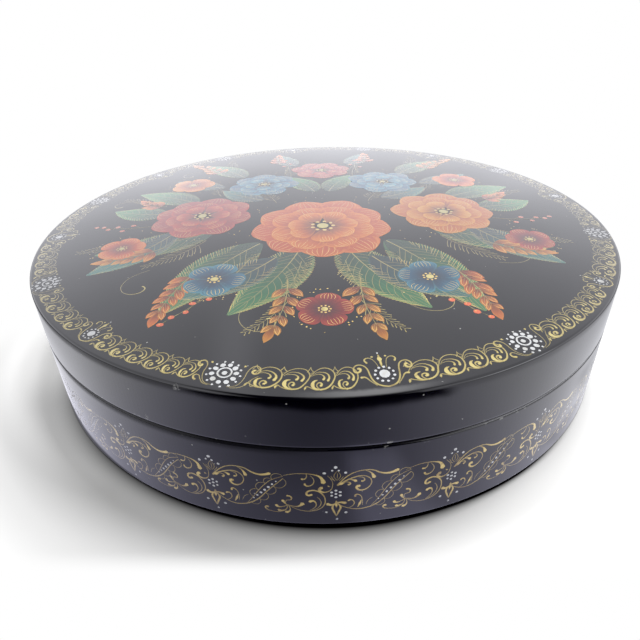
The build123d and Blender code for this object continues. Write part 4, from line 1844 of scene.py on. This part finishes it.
class LACQUER_OT_studio(bpy.types.Operator):
    """Sets the camera, the white floor, the world and the lamp"""

    bl_idname = "lacquer.studio"
    bl_label = "Studio"

    def execute(self, context):
        context.scene.view_settings.view_transform = "Standard"
        self.camera(context)
        self.floor()
        self.world(context)
        self.lamp("key_light", KEY_PLACE, KEY_SIZE, KEY_POWER)
        return {"FINISHED"}

    def camera(self, context):
        start_clean()
        bpy.ops.object.camera_add(location=CAMERA_PLACE)
        camera = context.object
        level = math.cos(CAMERA_PITCH)
        ahead = Vector(
            (math.sin(CAMERA_YAW) * level, math.cos(CAMERA_YAW) * level, math.sin(CAMERA_PITCH))
        )
        right = ahead.cross(Vector((0, 0, 1))).normalized()
        up = right.cross(ahead)
        tilt = Matrix.Rotation(CAMERA_ROLL, 3, -ahead)
        axes = Matrix((tilt @ right, tilt @ up, -ahead)).transposed()
        camera.matrix_world = Matrix.Translation(CAMERA_PLACE) @ axes.to_4x4()
        camera.data.lens = CAMERA_LENS
        camera.data.sensor_width = CAMERA_SENSOR
        camera.data.clip_start = CAMERA_NEAR
        context.scene.camera = camera

    def floor(self):
        start_clean()
        bpy.ops.mesh.primitive_plane_add(size=FLOOR_SIZE, location=(0, 0, -FLOOR_DROP))
        floor = bpy.context.object
        floor.name = "studio_floor"
        bpy.ops.object.transform_apply(location=True)
        nodes = new_finish("white_floor")
        path = nodes.node("ShaderNodeLightPath")
        x, y, _ = nodes.axes()
        away = nodes.distance(nodes.place)
        clear = self.clear(nodes, x, away)
        lift = LIFT_LEFT * nodes.step(-x, *LIFT_LEFT_X) * nodes.step(y, *LIFT_LEFT_Y)
        lift = lift * nodes.until(away, *LIFT_LEFT_RING)
        lift = lift + LIFT_RIGHT * nodes.step(x, *LIFT_RIGHT_X) * nodes.until(away, *LIFT_RIGHT_RING)
        lit = nodes.shader(
            {
                "Base Color": nodes.tinted(clear * FLOOR_GREY),
                "Roughness": 1.0,
                "Specular IOR Level": 0.0,
                "Emission Color": nodes.tinted(clear * (FLOOR_GLOW + lift)),
                "Emission Strength": 1.0,
            }
        )
        white = nodes.step(away, *FAR_WHITE)
        white = white.largest(nodes.step(-y - FRONT_WHITE_LEAN * x, *FRONT_WHITE))
        white = white.largest(nodes.step(y, *BACK_WHITE) * nodes.step(away, *BACK_WHITE_RING))
        white = white * nodes.wire(path, "Is Camera Ray")
        seen = nodes.blend(white, lit, nodes.glow(opaque(WHITE)))
        mirrored = nodes.glow(self.mirrored(nodes, x, y, away))
        nodes.finish(nodes.blend(nodes.wire(path, "Is Glossy Ray"), seen, mirrored))
        floor.data.materials.append(bpy.data.materials["white_floor"])

    def clear(self, nodes, x, away):
        """How clear of the box's shade the floor is: a dark contact, then a soft edge on the left."""
        deep = SHADE * ((x - SHADE_START) / SHADE_GROWS).clamped() ** 0.5
        deep = deep * nodes.until(x, *SHADE_ENDS) * (1 - SHADE_EASE * nodes.step(x, *SHADE_EASES))
        reach = nodes.between(nodes.step(x, *SHADE_NARROWS), SHADE_LEFT, SHADE_RIGHT)
        near = (1 - (away - OUTSIDE) / reach).clamped()
        edge = OUTSIDE - CONTACT_IN - CONTACT_IN * nodes.step(abs(x), *CONTACT_SIDES)
        contact = nodes.step(away - edge, 0.0, CONTACT_BLUR)
        start = away - PENUMBRA_LEAN * (-x - PENUMBRA_LEANS_AT).largest(0.0)
        wide = nodes.step(start, *PENUMBRA_START) * nodes.until(away, *PENUMBRA_END)
        left = PENUMBRA * nodes.step(-x, *PENUMBRA_LEFT)
        return contact * (1 - deep * near * near).clamped() * (1 - left * wide)

    def mirrored(self, nodes, x, y, away):
        """The floor's light in the lacquer."""
        front = FRONT + FRONT_FOOT * nodes.until(away, *FRONT_FOOT_RING)
        pane = nodes.until(abs(x - PANE_X), *PANE_WIDTH) * nodes.until(away, *PANE_RING)
        front = front + PANE * pane
        flank = nodes.step(abs(x - FLANK_X), *FLANK_SPAN)
        level = nodes.between(flank, front, self.flank(nodes, x, y, away))
        tint = nodes.mix(flank, opaque(FRONT_TINT), opaque(MIRRORED_TINT))
        # Painted reflection: dark past a ring in front of the box
        return nodes.tinted(level * (1 - self.dark_in_reflection(nodes, x, y, away)), tint)

    def flank(self, nodes, x, y, away):
        """The mirrored floor beside the box: dimmer behind, past a ring, and close to the foot."""
        side = nodes.between(nodes.step(y, *BACK_SPAN), FLANK, BACK)
        rim = nodes.between(nodes.step(x, *RIM_TURNS), RIM_LEFT, RIM_RIGHT)
        side = side * (1 - rim * nodes.step(away - RIM_LEAN * (-y).largest(0.0), *RIM_RING))
        taper = nodes.step(-x, *FOOT_TAPER)
        past_foot = (away - FOOT_AT - FOOT_OUT * taper) / (FOOT_BLUR + FOOT_SOFTER * taper)
        foot = nodes.step(-x, *FOOT_LEFT) * nodes.until(past_foot, 0.0, 1.0)
        side = side * (1 - FOOT_DARK * foot)
        low = nodes.step(x, *RIGHT_FOOT_X) * nodes.until(away, *RIGHT_FOOT_RING)
        right = nodes.step(x, *RIGHT_X) * nodes.step(y, *RIGHT_Y) * nodes.until(away, *RIGHT_RING)
        return side * (1 - RIGHT_DIM * low.largest(right))

    def dark_in_reflection(self, nodes, x, y, away):
        """Where the mirrored floor is painted dark: past a ring in front of the box."""
        waver = MIRROR_DARK_WAVER * (nodes.noise(*MIRROR_DARK_NOISE) - 0.5)
        past = away - MIRROR_DARK_LEAN * (-x).largest(0.0) + waver - MIRROR_DARK_RING
        across = abs(x - MIRROR_DARK_X) - MIRROR_DARK_SPREAD * (-y - MIRROR_DARK_SPREADS_AT).largest(0.0) - MIRROR_DARK_SIDE
        ahead = nodes.until(across, -MIRROR_DARK_SIDE_BLUR, MIRROR_DARK_SIDE_BLUR)
        return nodes.step(past, -MIRROR_DARK_BLUR, MIRROR_DARK_BLUR) * ahead

    def world(self, context):
        world = bpy.data.worlds.new("studio_world")
        context.scene.world = world
        nodes = Nodes(world, "Generated")
        path = nodes.node("ShaderNodeLightPath")
        x, y, z = nodes.axes()
        nearer = WORLD_NEARER * nodes.step(x, *WORLD_NEARER_X)
        back = nodes.step(y + nearer, *WORLD_BACK).largest(nodes.step(abs(x), *WORLD_FLANKS))
        height = nodes.between(nodes.step(z, *WORLD_RISE), WORLD_LOW, WORLD_HIGH)
        streak = nodes.until(abs(x - STREAK_X), *STREAK_WIDTH) * nodes.step(z, *STREAK_RISE)
        beam = nodes.step(x, *BEAM_X) * nodes.until(y, *BEAM_Y) * nodes.until(z, *BEAM_RISE)
        haze = HAZE_LEAST + HAZE_MORE * nodes.noise(*HAZE) + STREAK * streak + BEAM * beam
        gloss = nodes.tinted(WORLD_DARK + back * haze * (height - WORLD_DARK), MIRRORED_TINT)
        unseen = nodes.mix(nodes.wire(path, "Is Glossy Ray"), opaque((WORLD_FILL,) * 3), gloss)
        seen = nodes.wire(path, "Is Camera Ray").largest(nodes.wire(path, "Is Transmission Ray"))
        tint = nodes.mix(seen, unseen, opaque(WHITE))
        sky = nodes.node("ShaderNodeBackground", sockets={"Color": tint})
        nodes.node("ShaderNodeOutputWorld", sockets={"Surface": sky.outputs[0]})

    def lamp(self, name, place, size, power):
        start_clean()
        bpy.ops.object.light_add(type="AREA", location=place)
        lamp = bpy.context.object
        lamp.name = name
        lamp.data.size = size
        lamp.data.energy = power
        lamp.rotation_euler = (-Vector(place)).to_track_quat("-Z", "Y").to_euler()
        lamp.visible_glossy = False


class LACQUER_PT_panel(bpy.types.Panel):
    """Lists the steps that dress the box"""

    bl_idname = "LACQUER_PT_panel"
    bl_label = "Lacquer box"
    bl_space_type = "VIEW_3D"
    bl_region_type = "UI"
    bl_category = "Lacquer Box"

    def draw(self, context):
        for step in STEPS:
            self.layout.operator(step.bl_idname)


STEPS = (
    LACQUER_OT_finishes,
    LACQUER_OT_base,
    LACQUER_OT_lid,
    LACQUER_OT_lid_border,
    LACQUER_OT_base_band,
    LACQUER_OT_spray,
    LACQUER_OT_studio,
)
GROUPS = {"lacquer_sizes": BoxSizes, "lacquer_borders": BorderSizes, "lacquer_finishes": Finishes}
CLASSES = (*GROUPS.values(), *STEPS, LACQUER_PT_panel)


def register():
    for part in CLASSES:
        bpy.utils.register_class(part)
    for name, group in GROUPS.items():
        setattr(bpy.types.Scene, name, bpy.props.PointerProperty(type=group))


def unregister():
    for name in GROUPS:
        delattr(bpy.types.Scene, name)
    for part in reversed(CLASSES):
        bpy.utils.unregister_class(part)


def main():
    register()
    bpy.ops.lacquer.finishes()
    bpy.ops.lacquer.base()
    bpy.ops.lacquer.lid()
    bpy.ops.lacquer.lid_border()
    bpy.ops.lacquer.base_band()
    bpy.ops.lacquer.spray()
    bpy.ops.lacquer.studio()


if __name__ == "__main__":
    main()
